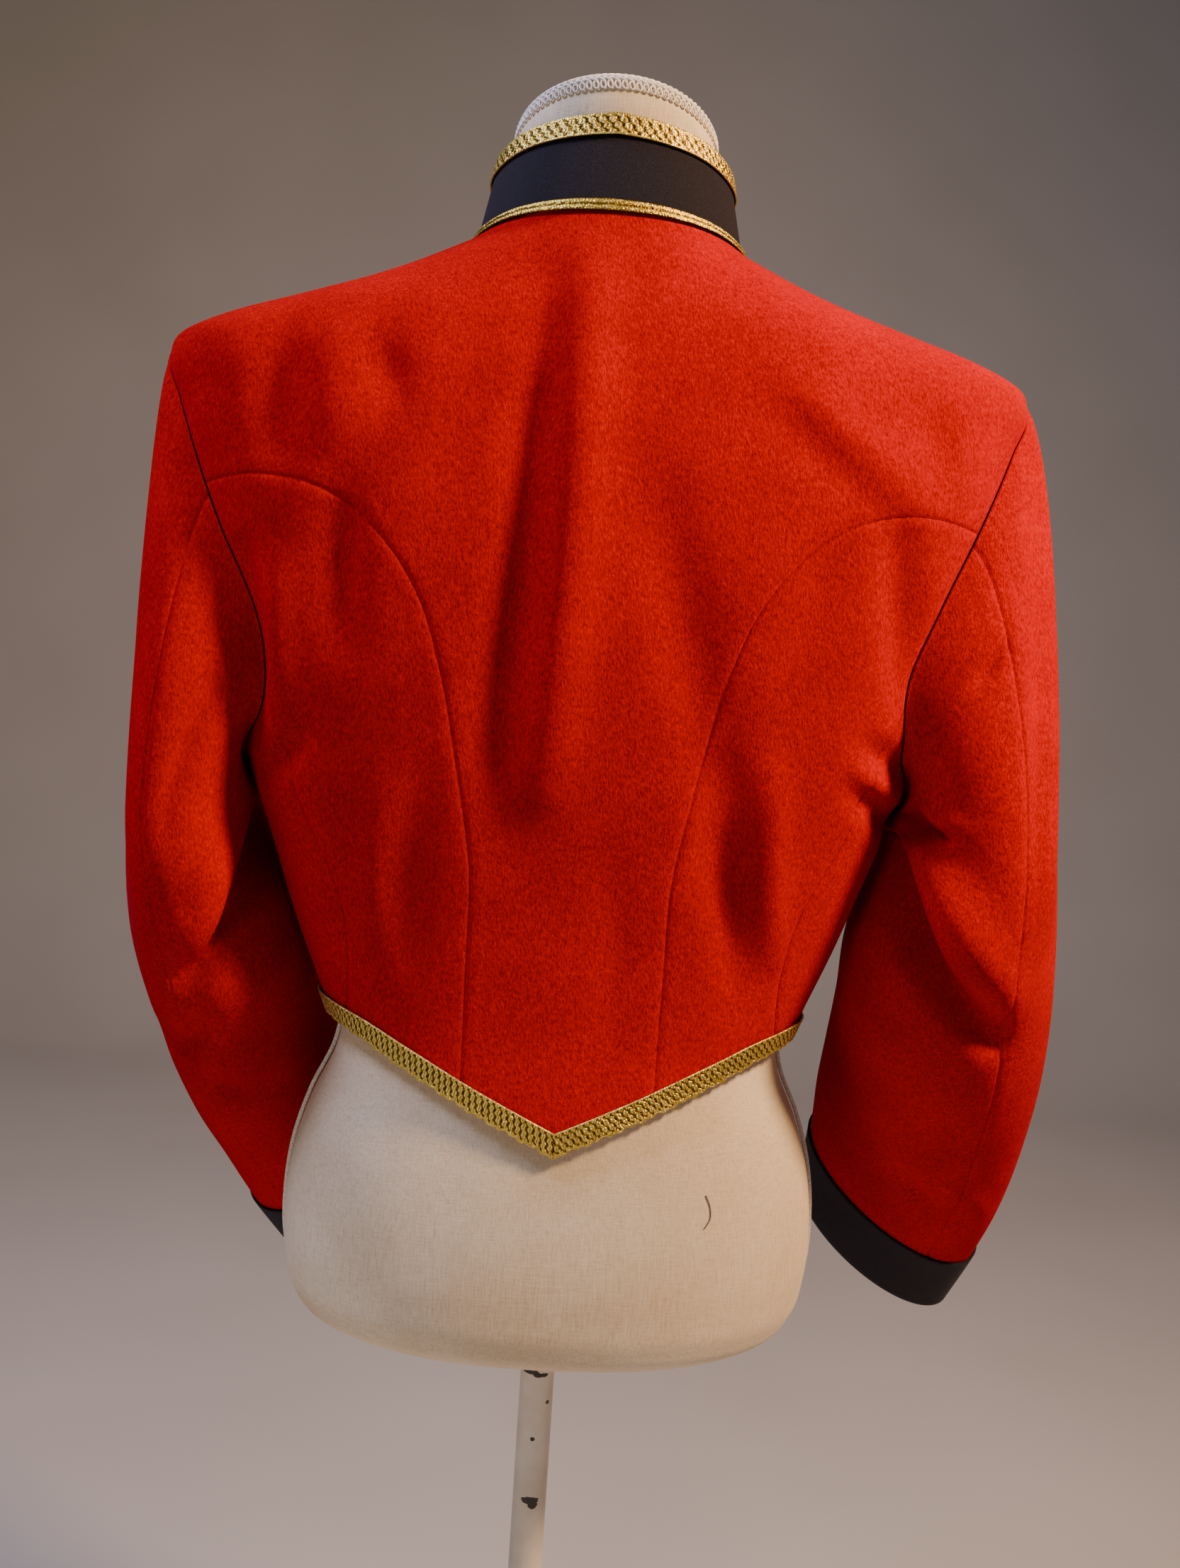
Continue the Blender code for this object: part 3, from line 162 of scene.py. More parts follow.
# Ferrule and pole
# A steel tube enamelled like the base, with a ferrule round its foot. The enamel is chipped below
# the form, and dark steel shows in the chips.
FORM_UNDERSIDE = 0.600
TOUCH_GAP = 0.0003
POLE_RADIUS = 0.0105
FERRULE_RADIUS = 0.024
FERRULE_HEIGHT = 0.040
FERRULE_WALL = 0.006
FERRULE_EDGE = 0.002
FERRULE_FLANGE = 0.004
FERRULE_FLANGE_EDGE = 0.0015
FERRULE_NECK = ((0.0, 2.2), (0.001, 1.5))
POLE_STEPS = 64
CHIP_DEEP = 0.3
CHIP_LIMIT = 1.5
CHIP_COLUMNS = ("x", "height", "half_wide", "half_high")
CHIPS = (
    (0.004, 0.559, 0.0055, 0.0016),
    (-0.002, 0.5575, 0.005, 0.0014),
    (-0.0075, 0.5395, 0.0014, 0.0016),
    (0.0005, 0.5165, 0.0014, 0.0012),
    (0, 0.4765, 0.0052, 0.0024),
    (-0.002, 0.4735, 0.003, 0.0022),
)

foot = BASE_THICKNESS + TOUCH_GAP
inner = POLE_RADIUS + TOUCH_GAP
outer = inner + FERRULE_WALL
profile = [(inner, foot + FERRULE_HEIGHT)] + rounded_edge(outer, foot + FERRULE_HEIGHT, FERRULE_EDGE)
profile += [(outer + flare, foot + share * FERRULE_FLANGE) for flare, share in FERRULE_NECK]
profile += rounded_edge(FERRULE_RADIUS, foot + FERRULE_FLANGE, FERRULE_FLANGE_EDGE)
profile += [(FERRULE_RADIUS, foot), (inner, foot)]
ring = turned_mesh("foot_ferrule", profile, POLE_STEPS, True)
add_piece("foot_ferrule", ring, white_enamel, "white_paint", "pole_ferrule")

# The same enamel, with ragged dark places where it has come off the steel.
chipped_enamel, tree, shader, where = new_material("chipped_enamel", 0.42, Coat_Weight=0.15)
clouds = add_node(tree, "TexNoise", {}, {"Vector": where, "Scale": 1 / 0.02})
tone = add_node(tree, "ValToRGB", {"stops": ((0.3, "#DAD2C4"), (0.7, "#ECE7DC"))}, {"Fac": clouds})
ragged = add_node(tree, "TexNoise", {}, {"Vector": where, "Scale": 1 / 0.003, "Detail": 4.0})
bare = 0.0
for row in CHIPS:
    chip = dict(zip(CHIP_COLUMNS, row))
    middle = (chip["x"], POLE_RADIUS, chip["height"])
    sizes = (1 / chip["half_wide"], CHIP_DEEP / chip["half_wide"], 1 / chip["half_high"])
    apart = add_node(tree, "VectorMath", {"operation": "SUBTRACT"}, {0: where, 1: middle})
    apart = add_node(tree, "VectorMath", {"operation": "MULTIPLY"}, {0: apart, 1: sizes})
    far = add_node(tree, "VectorMath", {"operation": "LENGTH"}, {0: apart})
    far = add_node(tree, "Math", {"operation": "ADD"}, {0: far.outputs["Value"], 1: ragged})
    inside = add_node(tree, "Math", {"operation": "LESS_THAN"}, {0: far, 1: CHIP_LIMIT})
    bare = add_node(tree, "Math", {"operation": "MAXIMUM"}, {0: bare, 1: inside})
chipped = add_node(tree, "Mix", {"data_type": "RGBA"}, {0: bare, 6: tone, 7: linear("#2A211B")})
bump = add_node(tree, "Bump", {"invert": True}, {"Height": bare, "Distance": 0.0002})
dress(tree, shader, chipped.outputs[2], bump)

pole_top = FORM_UNDERSIDE - TOUCH_GAP
profile = [(0, pole_top), (POLE_RADIUS, pole_top), (POLE_RADIUS, foot), (0, foot)]
tube = turned_mesh("pole_tube", profile, POLE_STEPS, False)
add_piece("pole_tube", tube, chipped_enamel, "white_paint", "pole")


# Dress form
# A moulded paper shell covered with fine beige linen, stretched and stitched down, with a flat
# covered top on the neck. The linen's threads run straight up the form.
HEM_POINT_HEIGHT = 0.738
FORM_COLUMNS = ("height", "half_width", "back_depth", "front_depth", "squareness", "neck_tilt")
FORM_RINGS = (
    (-0.138, 0.137, 0.086, 0.084, 2.3, 0),
    (-0.133, 0.145, 0.093, 0.0905, 2.3, 0),
    (-0.122, 0.153, 0.0985, 0.0955, 2.3, 0),
    (-0.102, 0.158, 0.101, 0.0985, 2.3, 0),
    (-0.075, 0.159, 0.101, 0.099, 2.3, 0),
    (-0.04, 0.155, 0.098, 0.096, 2.3, 0),
    (-0.01, 0.146, 0.093, 0.09, 2.3, 0),
    (0.02, 0.133, 0.087, 0.083, 2.3, 0),
    (0.05, 0.13, 0.081, 0.08, 2.3, 0),
    (0.09, 0.142, 0.078, 0.082, 2.3, 0),
    (0.14, 0.156, 0.079, 0.087, 2.4, 0),
    (0.192, 0.165, 0.082, 0.093, 2.5, 0),
    (0.25, 0.172, 0.0845, 0.097, 2.6, 0),
    (0.31, 0.178, 0.0845, 0.094, 2.7, 0),
    (0.37, 0.182, 0.081, 0.082, 2.7, 0),
    (0.41, 0.184, 0.0765, 0.072, 2.6, 0),
    (0.431, 0.181, 0.0735, 0.065, 2.4, 0),
    (0.443, 0.172, 0.071, 0.06, 2.3, 0),
    (0.454, 0.15, 0.0685, 0.053, 2.2, 0),
    (0.465, 0.12, 0.0655, 0.043, 2.2, 0),
    (0.477, 0.0875, 0.062, 0.0345, 2.1, 0),
    (0.488, 0.0685, 0.059, 0.0355, 2, 3),
    (0.506, 0.061, 0.0555, 0.043, 2, 8),
    (0.528, 0.057, 0.0535, 0.048, 2, 14),
    (0.554, 0.0545, 0.053, 0.051, 2, 20),
    (0.5565, 0.0525, 0.051, 0.049, 2, 20),
)
FORM_NECK_DOME = 0.004
UNDER_JACKET = (0.055, 0.495)
DRAWN_IN = 0.0020
FORM_AROUND = 144
FORM_UPWARD = 160
TESTED_FACES = 60
TEST_STEP = 0.001


def column(table, columns, name):
    return np.array([row[columns.index(name)] for row in table], dtype=float)


def cubic(t, near, far, leave, arrive):
    """Cubic from near to far as t goes from 0 to 1, with its slopes at both ends."""
    return (
        (2 * t**3 - 3 * t**2 + 1) * near
        + (t**3 - 2 * t**2 + t) * leave
        + (3 * t**2 - 2 * t**3) * far
        + (t**3 - t**2) * arrive
    )


def smooth(known_at, known, at):
    """Cubic curve through the known values, held flat outside them."""
    known_at = np.asarray(known_at, float)
    known = np.asarray(known, float)
    at = np.clip(np.asarray(at, float), known_at[0], known_at[-1])
    slopes = np.gradient(known, known_at)
    i = np.clip(np.searchsorted(known_at, at, side="right") - 1, 0, len(known_at) - 2)
    step = known_at[i + 1] - known_at[i]
    t = (at - known_at[i]) / step
    return cubic(t, known[i], known[i + 1], step * slopes[i], step * slopes[i + 1])


def reader(table, columns):
    """A function that gives a column's value at any value of the table's first column."""
    known_at = column(table, columns, columns[0])
    return lambda name, at: smooth(known_at, column(table, columns, name), at)


def round_ring(value, turn, height, out=0.0):
    """Level x and y on a squared oval, by its turn from the centre back in radians."""
    power = value("squareness", height)
    swell = (np.abs(np.sin(turn)) ** power + np.abs(np.cos(turn)) ** power) ** (-1 / power)
    reach = np.where(np.cos(turn) > 0, value("back_depth", height), value("front_depth", height))
    x = (value("half_width", height) + out) * np.sin(turn) * swell
    return x, (reach + out) * np.cos(turn) * swell


form_value = reader(FORM_RINGS, FORM_COLUMNS)


def form_point(turn, height, out=0.0):
    """World point of the dress form by its turn from the centre back, in radians."""
    x, y = round_ring(form_value, turn, height, out)
    tilt = np.radians(form_value("neck_tilt", height))
    return np.stack([x, y * np.cos(tilt), height + y * np.sin(tilt) + HEM_POINT_HEIGHT], -1)


def even_lines(grid):
    """Shares of evenly spaced lines, for the numbers of steps along and across a grid."""
    return [np.linspace(0, 1, steps + 1) for steps in grid]


def fill_grid(work, point_at, lines_u, lines_v):
    """Grid of faces at the given shares, facing outwards; returns its corners and their shares."""
    steps_u, steps_v = len(lines_u) - 1, len(lines_v) - 1
    verts = bmesh.ops.create_grid(work, x_segments=steps_u, y_segments=steps_v, size=0.5)["verts"]
    even = np.array([vert.co[:2] for vert in verts]) + 0.5
    u = np.asarray(lines_u)[np.rint(even[:, 0] * steps_u).astype(int)]
    v = np.asarray(lines_v)[np.rint(even[:, 1] * steps_v).astype(int)]
    places = point_at(u, v, 0.0)
    number = {}
    for k, vert in enumerate(verts):
        vert.co = places[k]
        number[vert] = k
    faces = list(dict.fromkeys(face for vert in verts for face in vert.link_faces))
    tested = faces[:: max(1, len(faces) // TESTED_FACES)]
    corners = np.array([number[face.verts[0]] for face in tested])
    outward = point_at(u[corners], v[corners], TEST_STEP) - places[corners]
    facing = 0.0
    for face, direction in zip(tested, outward):
        face.normal_update()
        facing += face.normal.dot(Vector(direction))
    if facing < 0:
        bmesh.ops.reverse_faces(work, faces=faces)
    return verts, u, v


# Linen: plain weave of half-bleached flax, matt and slubby. Its threads are drawn twice as coarse
# as they are, so that the weave shows.
LINEN_THREAD = 0.0007
form_linen, tree, shader, where = new_material("form_linen", 0.92, Sheen_Weight=0.1, Sheen_Roughness=0.6)
upright = add_node(tree, "Mapping", {}, {"Vector": where, "Scale": (1.0, 1.0, 0.06)})
level = add_node(tree, "Mapping", {}, {"Vector": where, "Scale": (0.10, 0.10, 1.0)})
thread = {"Scale": 1 / LINEN_THREAD, "Detail": 3.0, "Roughness": 0.7}
warp = add_node(tree, "TexNoise", {}, {"Vector": upright, **thread})
weft = add_node(tree, "TexNoise", {}, {"Vector": level, **thread})
weave = add_node(tree, "Mix", {"data_type": "FLOAT"}, {0: 0.4, 2: warp, 3: weft})
stops = ((0.34, "#D2BFA0"), (0.5, "#E9D9BC"), (0.66, "#F5E9D1"))
tone = add_node(tree, "ValToRGB", {"stops": stops}, {"Fac": weave})
clouds = add_node(tree, "TexNoise", {}, {"Vector": where, "Scale": 1 / 0.06})
stain = add_node(tree, "ValToRGB", {"stops": ((0.35, "#F4EFE9"), (0.65, "#FFFFFF"))}, {"Fac": clouds})
linen = add_node(tree, "Mix", {"data_type": "RGBA", "blend_type": "MULTIPLY"}, {0: 1.0, 6: tone, 7: stain})
bump = add_node(tree, "Bump", {}, {"Height": weave, "Distance": 0.0003})
dress(tree, shader, linen.outputs[2], bump)

form_low, form_high = FORM_RINGS[0][0], FORM_RINGS[-1][0]
form_heights = column(FORM_RINGS, FORM_COLUMNS, "height")
form_lines = np.interp(
    np.linspace(0, len(form_heights) - 1, FORM_UPWARD + 1), range(len(form_heights)), form_heights
)


def form_at(u, v, out):
    height = form_low + (form_high - form_low) * v
    hidden = (height > UNDER_JACKET[0]) & (height < UNDER_JACKET[1])
    return form_point(2 * pi * u, height, out - DRAWN_IN * hidden)


work = bmesh.new()
form_shares = (form_lines - form_low) / (form_high - form_low)
fill_grid(work, form_at, np.linspace(0, 1, FORM_AROUND + 1), form_shares)
bmesh.ops.remove_doubles(work, verts=work.verts, dist=WELD)
rims = [edge for edge in work.edges if edge.is_boundary]
under = [edge for edge in rims if edge.verts[0].co.z < HEM_POINT_HEIGHT]
over = [edge for edge in rims if edge.verts[0].co.z > HEM_POINT_HEIGHT]
bmesh.ops.edgeloop_fill(work, edges=under)
lid = bmesh.ops.edgeloop_fill(work, edges=over)["faces"]
for vert in bmesh.ops.poke(work, faces=lid)["verts"]:
    vert.co.z += FORM_NECK_DOME
bmesh.ops.recalc_face_normals(work, faces=work.faces)
add_piece("linen_form", finish_mesh(work, "linen_form"), form_linen, "form_linen", "dress_form")


# Trimmings of the form
# White cotton gimp glued round the top of the neck: a plait of slanted strands with a row of loops
# below it. A thin twisted cord runs down each side seam, and a loose thread sticks to the linen.
NECK_BRAID_WIDTH = 0.0085
SURFACE_GAP = 0.0005
SIDE_CORD_RADIUS = 0.0015
SIDE_CORD_TOP = 0.030
SIDE_CORD_FOOT = -0.122
SIDE_CORD_TWIST = 0.0045
GIMP_LOOPS = 94
GIMP_COLUMNS = ("start", "slant", "low", "drop")
GIMP_SLANTS = ((0.2, 1.5, 0.0002, 0.0024), (1.7, -1.5, 0.0022, 0.0026))
GIMP_POINTS, GIMP_LOOP_POINTS = 7, 10
GIMP_STAND = 0.0008
GIMP_STRAND = 0.00068
GIMP_LOOP_STRAND = 0.00055
GIMP_LOOP = {"half_wide": 0.36, "slant": 0.12, "above": 0.0021, "half_high": 0.0018}
GIMP_LOOP_STAND, GIMP_LOOP_TILT = 0.0010, 0.0002
SIDE_CORD_POINTS = 220
PLY_SHARE, PLY_STRAND = 0.52, 0.92
THREAD_RADIUS = 0.00028
THREAD_STAND = 0.0004
THREAD_POINTS = 16
HIP_HALF_WIDTH = 0.158
LOOSE_THREAD = ((-0.0850, -0.0323), (-0.0868, -0.0385), (-0.0866, -0.0450), (-0.0832, -0.0505))

# Sign of X on each hand's side, because the front faces -Y
HANDS = {"left": 1, "right": -1}

# Mercerised cotton: clean white thread, a little glossy, with soft shadows between its plies.
white_cotton, tree, shader, where = new_material("white_cotton", 0.6, Sheen_Weight=0.25)
plies = add_node(tree, "TexNoise", {}, {"Vector": where, "Scale": 1 / 0.0014})
tone = add_node(tree, "ValToRGB", {"stops": ((0.35, "#DDD6CA"), (0.62, "#FCF9F4"))}, {"Fac": plies})
fibres = add_node(tree, "TexNoise", {}, {"Vector": where, "Scale": 1 / 0.0007})
bump = add_node(tree, "Bump", {}, {"Height": fibres, "Distance": 0.0002})
dress(tree, shader, tone.outputs[0], bump)


def strand_mesh(name, lines, radius, fineness, cyclic):
    """Round strands along lists of points, as one mesh."""
    curve = bpy.data.curves.new(name, "CURVE")
    curve.dimensions = "3D"
    curve.bevel_depth = radius
    curve.bevel_resolution = fineness
    curve.use_fill_caps = not cyclic
    for line in lines:
        spline = curve.splines.new("POLY")
        spline.points.add(len(line) - 1)
        spline.points.foreach_set("co", np.column_stack([line, np.ones(len(line))]).ravel())
        spline.use_cyclic_u = cyclic
    rope = bpy.data.objects.new(name, curve)
    mesh = bpy.data.meshes.new_from_object(rope)
    bpy.data.objects.remove(rope)
    mesh.shade_smooth()
    return mesh


gimp_top = FORM_RINGS[-2][0]
gimp_low = gimp_top - NECK_BRAID_WIDTH
pitch = 2 * pi / GIMP_LOOPS
run = np.linspace(0, 1, GIMP_POINTS)
bow = np.sin(pi * run)
around = np.linspace(0, 2 * pi, GIMP_LOOP_POINTS, endpoint=False)
slants, loops = [], []
for k in range(GIMP_LOOPS):
    for row in GIMP_SLANTS:
        slant = dict(zip(GIMP_COLUMNS, row))
        turn = pitch * (k + slant["start"] + slant["slant"] * run)
        height = gimp_top - slant["low"] - slant["drop"] * run
        slants.append(form_point(turn, height, GIMP_STAND * (1 + bow)))
    turn = pitch * (k + 0.5 + GIMP_LOOP["half_wide"] * np.sin(around) + GIMP_LOOP["slant"] * np.cos(around))
    height = gimp_low + GIMP_LOOP["above"] + GIMP_LOOP["half_high"] * np.cos(around)
    loops.append(form_point(turn, height, GIMP_LOOP_STAND + GIMP_LOOP_TILT * np.cos(around)))

work = bmesh.new()
work.from_mesh(strand_mesh("gimp_plait", slants, GIMP_STRAND, 1, False))
work.from_mesh(strand_mesh("gimp_loops", loops, GIMP_LOOP_STRAND, 1, True))
add_piece("neck_gimp", finish_mesh(work, "neck_gimp", 80), white_cotton, "white_trim", "neck_braid")

levels = np.linspace(SIDE_CORD_TOP, SIDE_CORD_FOOT, SIDE_CORD_POINTS)
beside = form_point(np.full(len(levels), pi / 2), levels, SIDE_CORD_RADIUS + SURFACE_GAP)
twist = 2 * pi * levels / SIDE_CORD_TWIST
ply = PLY_SHARE * SIDE_CORD_RADIUS
for hand, sign in HANDS.items():
    strands = []
    for phase in (0, 2 * pi / 3, 4 * pi / 3):
        shift = np.stack([np.cos(twist + phase), np.sin(twist + phase), 0 * twist], -1) * ply
        strands.append((beside + shift) * (sign, 1, 1))
    cord = strand_mesh(f"seam_cord_{hand}", strands, PLY_STRAND * ply, 1, False)
    add_piece(f"seam_cord_{hand}", cord, white_cotton, "white_trim", f"side_cord_{hand}")

thread_at = np.linspace(0, len(LOOSE_THREAD) - 1, THREAD_POINTS)
known_at = range(len(LOOSE_THREAD))
thread_x, thread_height = (smooth(known_at, known, thread_at) for known in zip(*LOOSE_THREAD))
thread_line = form_point(np.arcsin(thread_x / HIP_HALF_WIDTH), thread_height, THREAD_STAND)
lint = strand_mesh("loose_thread", [thread_line], THREAD_RADIUS, 1, False)

# Polyester sewing thread: olive grey, slightly glossy, darker between its plies.
olive_thread, tree, shader, where = new_material("olive_thread", 0.5)
plies = add_node(tree, "TexNoise", {}, {"Vector": where, "Scale": 1 / 0.0006})
tone = add_node(tree, "ValToRGB", {"stops": ((0.35, "#3C3A2C"), (0.65, "#6C6850"))}, {"Fac": plies})
bump = add_node(tree, "Bump", {}, {"Height": plies, "Distance": 0.00005})
dress(tree, shader, tone.outputs[0], bump)
add_piece("loose_thread", lint, olive_thread, None)


# Body of the jacket
# Heavy scarlet melton, cut as a centre back, two curved side backs and two fronts, sewn with
# seams pressed open. The cloth has sagged into creases from the shoulders and under the arms.
CLOTH = 0.0020
PATCH_WELD = 0.0001
RING_COLUMNS = ("height", "half_width", "back_depth", "front_depth", "squareness")
JACKET_RINGS = (
    (-0.03, 0.129, 0.0985, 0.093, 2.3),
    (0, 0.131, 0.0955, 0.09, 2.3),
    (0.04, 0.1375, 0.088, 0.087, 2.4),
    (0.06, 0.1455, 0.086, 0.088, 2.4),
    (0.095, 0.16, 0.085, 0.091, 2.4),
    (0.14, 0.1755, 0.0865, 0.096, 2.5),
    (0.192, 0.1925, 0.09, 0.102, 2.7),
    (0.25, 0.202, 0.0925, 0.106, 3),
    (0.3, 0.213, 0.093, 0.104, 3.1),
    (0.345, 0.226, 0.0915, 0.097, 3.1),
    (0.39, 0.2395, 0.0875, 0.087, 2.9),
    (0.415, 0.2465, 0.084, 0.079, 2.7),
    (0.4265, 0.242, 0.0815, 0.0755, 2.6),
    (0.4375, 0.22, 0.0795, 0.071, 2.5),
    (0.45, 0.183, 0.077, 0.064, 2.3),
    (0.4633, 0.142, 0.0735, 0.053, 2.2),
    (0.479, 0.103, 0.07, 0.037, 2.1),
    (0.492, 0.0764, 0.0675, 0.018, 2.1),
    (0.5, 0.071, 0.0655, 0.012, 2.1),
)
HEM_COLUMNS = ("degrees", "height")
HEM = (
    (0, -0.012), (21, 0.0095), (39, 0.0285), (50, 0.0385), (60, 0.043), (90, 0.0445),
    (116, 0.0435), (133, 0.039), (148, 0.029), (160, 0.018),
)
CURVED_SEAM_HEM_DEGREES = 23.0
SIDE_SEAM_HEM_DEGREES = 58.0
SPLIT_HEM_DEGREES = 123.0
CURVED_SEAM = (
    (0.054, 0.085), (0.055, 0.14), (0.065, 0.195), (0.077, 0.25), (0.0885, 0.283), (0.106, 0.31),
    (0.1275, 0.33), (0.155, 0.3425), (0.185, 0.3455),
)
CURVED_SEAM_BEND = 0.3000
CROSS_BACK_HEIGHT = 0.3300
CROSS_BACK_SAG = 0.0066
SIDE_SEAM = (
    (0.1215, 0.075), (0.1235, 0.1), (0.13, 0.123), (0.14, 0.143), (0.151, 0.165), (0.161, 0.19),
    (0.171, 0.22),
)
NECK_BACK = ((0.0000, 0.4980), (0.0300, 0.4975), (0.0580, 0.4955), (0.0764, 0.4920))
NECK_FRONT = (
    (0.0764, 0.492), (0.074, 0.484), (0.066, 0.474), (0.052, 0.465), (0.035, 0.459), (0.0015, 0.455),
)
FRONT_EDGE = ((0.0015, 0.4550), (0.0020, 0.3600), (0.0040, 0.2800), (0.0120, 0.1900), (0.0280, 0.1000))
CHEST_HEIGHT = 0.2500
ARMHOLE_COLUMNS = ("turn", "x", "height", "side")
ARMHOLE = (
    (0, 0.242, 0.4265, 1),
    (30, 0.2385, 0.395, 1),
    (60, 0.2215, 0.355, 1),
    (90, 0.1965, 0.3, 1),
    (120, 0.182, 0.25, 1),
    (150, 0.186, 0.212, 1),
    (180, 0.1925, 0.192, 1),
    (210, 0.185, 0.208, -1),
    (240, 0.176, 0.243, -1),
    (270, 0.178, 0.295, -1),
    (300, 0.199, 0.348, -1),
    (330, 0.229, 0.395, -1),
)
CURVED_SEAM_TURN = 68.0
SIDE_SEAM_TURN = 126.0
FRONT_SPLIT_TURN = 222.0

# Creases, each along a bent line of three places; a valley's depth is negative.
CREASE_COLUMNS = ("side", "x0", "h0", "x1", "h1", "x2", "h2", "half_width", "depth")
TORSO_CREASES = (
    (1, 0.01, 0.468, 0.012, 0.34, 0.018, 0.19, 0.017, 0.0066),
    (1, 0.031, 0.45, 0.033, 0.34, 0.04, 0.2, 0.016, -0.0044),
    (1, -0.034, 0.345, -0.058, 0.262, -0.074, 0.2, 0.018, -0.0036),
    (1, -0.074, 0.2, -0.08, 0.15, -0.092, 0.104, 0.013, -0.003),
    (1, -0.098, 0.41, -0.13, 0.384, -0.17, 0.352, 0.013, 0.0028),
    (1, -0.1, 0.394, -0.122, 0.372, -0.15, 0.352, 0.011, -0.0014),
    (1, -0.18, 0.4, -0.182, 0.385, -0.184, 0.368, 0.008, -0.0016),
    (1, 0.19, 0.306, 0.181, 0.25, 0.185, 0.206, 0.008, -0.005),
    (1, 0.118, 0.42, 0.115, 0.405, 0.109, 0.389, 0.012, -0.0034),
    (1, 0.142, 0.421, 0.141, 0.395, 0.139, 0.368, 0.01, 0.0018),
    (1, 0.172, 0.419, 0.172, 0.39, 0.169, 0.356, 0.013, -0.0038),
    (1, -0.106, 0.2, -0.109, 0.15, -0.114, 0.1, 0.01, 0.0036),
    (1, -0.085, 0.2, -0.087, 0.14, -0.094, 0.082, 0.01, -0.0018),
    (1, -0.163, 0.338, -0.171, 0.292, -0.176, 0.25, 0.013, -0.0042),
    (1, 0.134, 0.334, 0.133, 0.298, 0.13, 0.261, 0.013, -0.0038),
    (1, 0.168, 0.296, 0.167, 0.258, 0.164, 0.221, 0.01, 0.0032),
    (1, -0.158, 0.22, -0.176, 0.212, -0.19, 0.205, 0.008, -0.0028),
    (1, -0.155, 0.192, -0.176, 0.18, -0.196, 0.164, 0.009, -0.0036),
    (1, -0.152, 0.206, -0.17, 0.196, -0.186, 0.188, 0.006, 0.0016),
    (1, 0.15, 0.205, 0.163, 0.192, 0.176, 0.186, 0.008, -0.0028),
    (1, 0.04, 0.3, 0.046, 0.23, 0.04, 0.15, 0.016, -0.0018),
    (1, 0.06, 0.41, 0.075, 0.37, 0.08, 0.335, 0.016, -0.0018),
    (1, -0.02, 0.15, -0.026, 0.1, -0.024, 0.05, 0.012, -0.0014),
    (1, 0.082, 0.19, 0.088, 0.14, 0.086, 0.09, 0.012, -0.002),
    (1, 0.104, 0.18, 0.108, 0.14, 0.106, 0.1, 0.01, 0.0018),
    (1, -0.128, 0.33, -0.118, 0.27, -0.112, 0.225, 0.016, -0.0016),
    (-1, 0.12, 0.36, 0.14, 0.31, 0.15, 0.26, 0.016, -0.0042),
    (-1, 0.142, 0.372, 0.16, 0.33, 0.166, 0.285, 0.01, 0.0022),
    (-1, -0.115, 0.37, -0.138, 0.318, -0.148, 0.265, 0.016, -0.0038),
    (-1, -0.138, 0.38, -0.158, 0.335, -0.164, 0.296, 0.01, 0.002),
    (-1, 0.085, 0.17, 0.1, 0.135, 0.12, 0.09, 0.015, -0.0032),
    (-1, 0.062, 0.15, 0.076, 0.112, 0.09, 0.08, 0.01, 0.0018),
    (-1, -0.09, 0.18, -0.104, 0.142, -0.122, 0.1, 0.015, -0.0036),
    (-1, -0.06, 0.14, -0.074, 0.104, -0.09, 0.078, 0.01, 0.0016),
    (-1, 0.05, 0.4, 0.044, 0.35, 0.052, 0.3, 0.016, -0.002),
    (-1, -0.06, 0.41, -0.052, 0.356, -0.058, 0.31, 0.014, -0.0022),
)
CREASE_FADE = 0.03
CREASE_FULLNESS = 1.5
CREASE_STEPS = 12
CREASE_END = 0.45
CREASE_ROUND = 0.7
SEAM_DIP = 0.0007
SEAM_DIP_WIDTH = 0.0012
SEAM_RIDGE = 0.0002
SEAM_RIDGE_AWAY = 0.0060
SEAM_RIDGE_WIDTH = 0.0026

# How the routes of the seams are worked out
ROOF_VIEW = 0.7
SMALL_STEP = 1e-4
ROUTE_SAMPLES = 400
LEVEL_SAMPLES = 1200
HALVINGS = 40
LOW_ROWS = 10
HIGH_ROWS = 6
CROSS_STEPS = 5
CURVED_STEPS = 5
NECK_STEPS = 4
SHOULDER_STEPS = 6
SIDE_BACK_STEPS = 4
UNDERARM_STEPS = 6
CROWDED_MIDDLE = 0.85
EVEN_SHARE, CROWDED_SHARE = 0.2, 0.8


ring_value = reader(JACKET_RINGS, RING_COLUMNS)


def unit(vectors):
    return vectors / np.maximum(np.linalg.norm(vectors, axis=-1, keepdims=True), 1e-12)


def lengths(points):
    """Length of a line of points from its start to each of them."""
    return np.concatenate([[0], np.cumsum(np.linalg.norm(np.diff(points, axis=0), axis=1))])


def depth_at(x, height, side):
    """How far the torso reaches from its middle plane at a place seen square on."""
    inside = 1 - (np.abs(x) / ring_value("half_width", height)) ** ring_value("squareness", height)
    reach = np.where(side > 0, ring_value("back_depth", height), ring_value("front_depth", height))
    return reach * np.clip(inside, 0, 1) ** (1 / ring_value("squareness", height))


def on_ring(angle, height):
    """Point of the torso by its angle from the centre back, in radians, and its height."""
    x, y = round_ring(ring_value, angle, height)
    return np.stack([x, y, height + 0 * angle], -1)


def ring_place(angle_height):
    return on_ring(angle_height[..., 0], angle_height[..., 1])


def ring_slopes(angle, height):
    """Change of the torso's surface round and upward, over twice a small step."""
    around = on_ring(angle + SMALL_STEP, height) - on_ring(angle - SMALL_STEP, height)
    return around, on_ring(angle, height + SMALL_STEP) - on_ring(angle, height - SMALL_STEP)


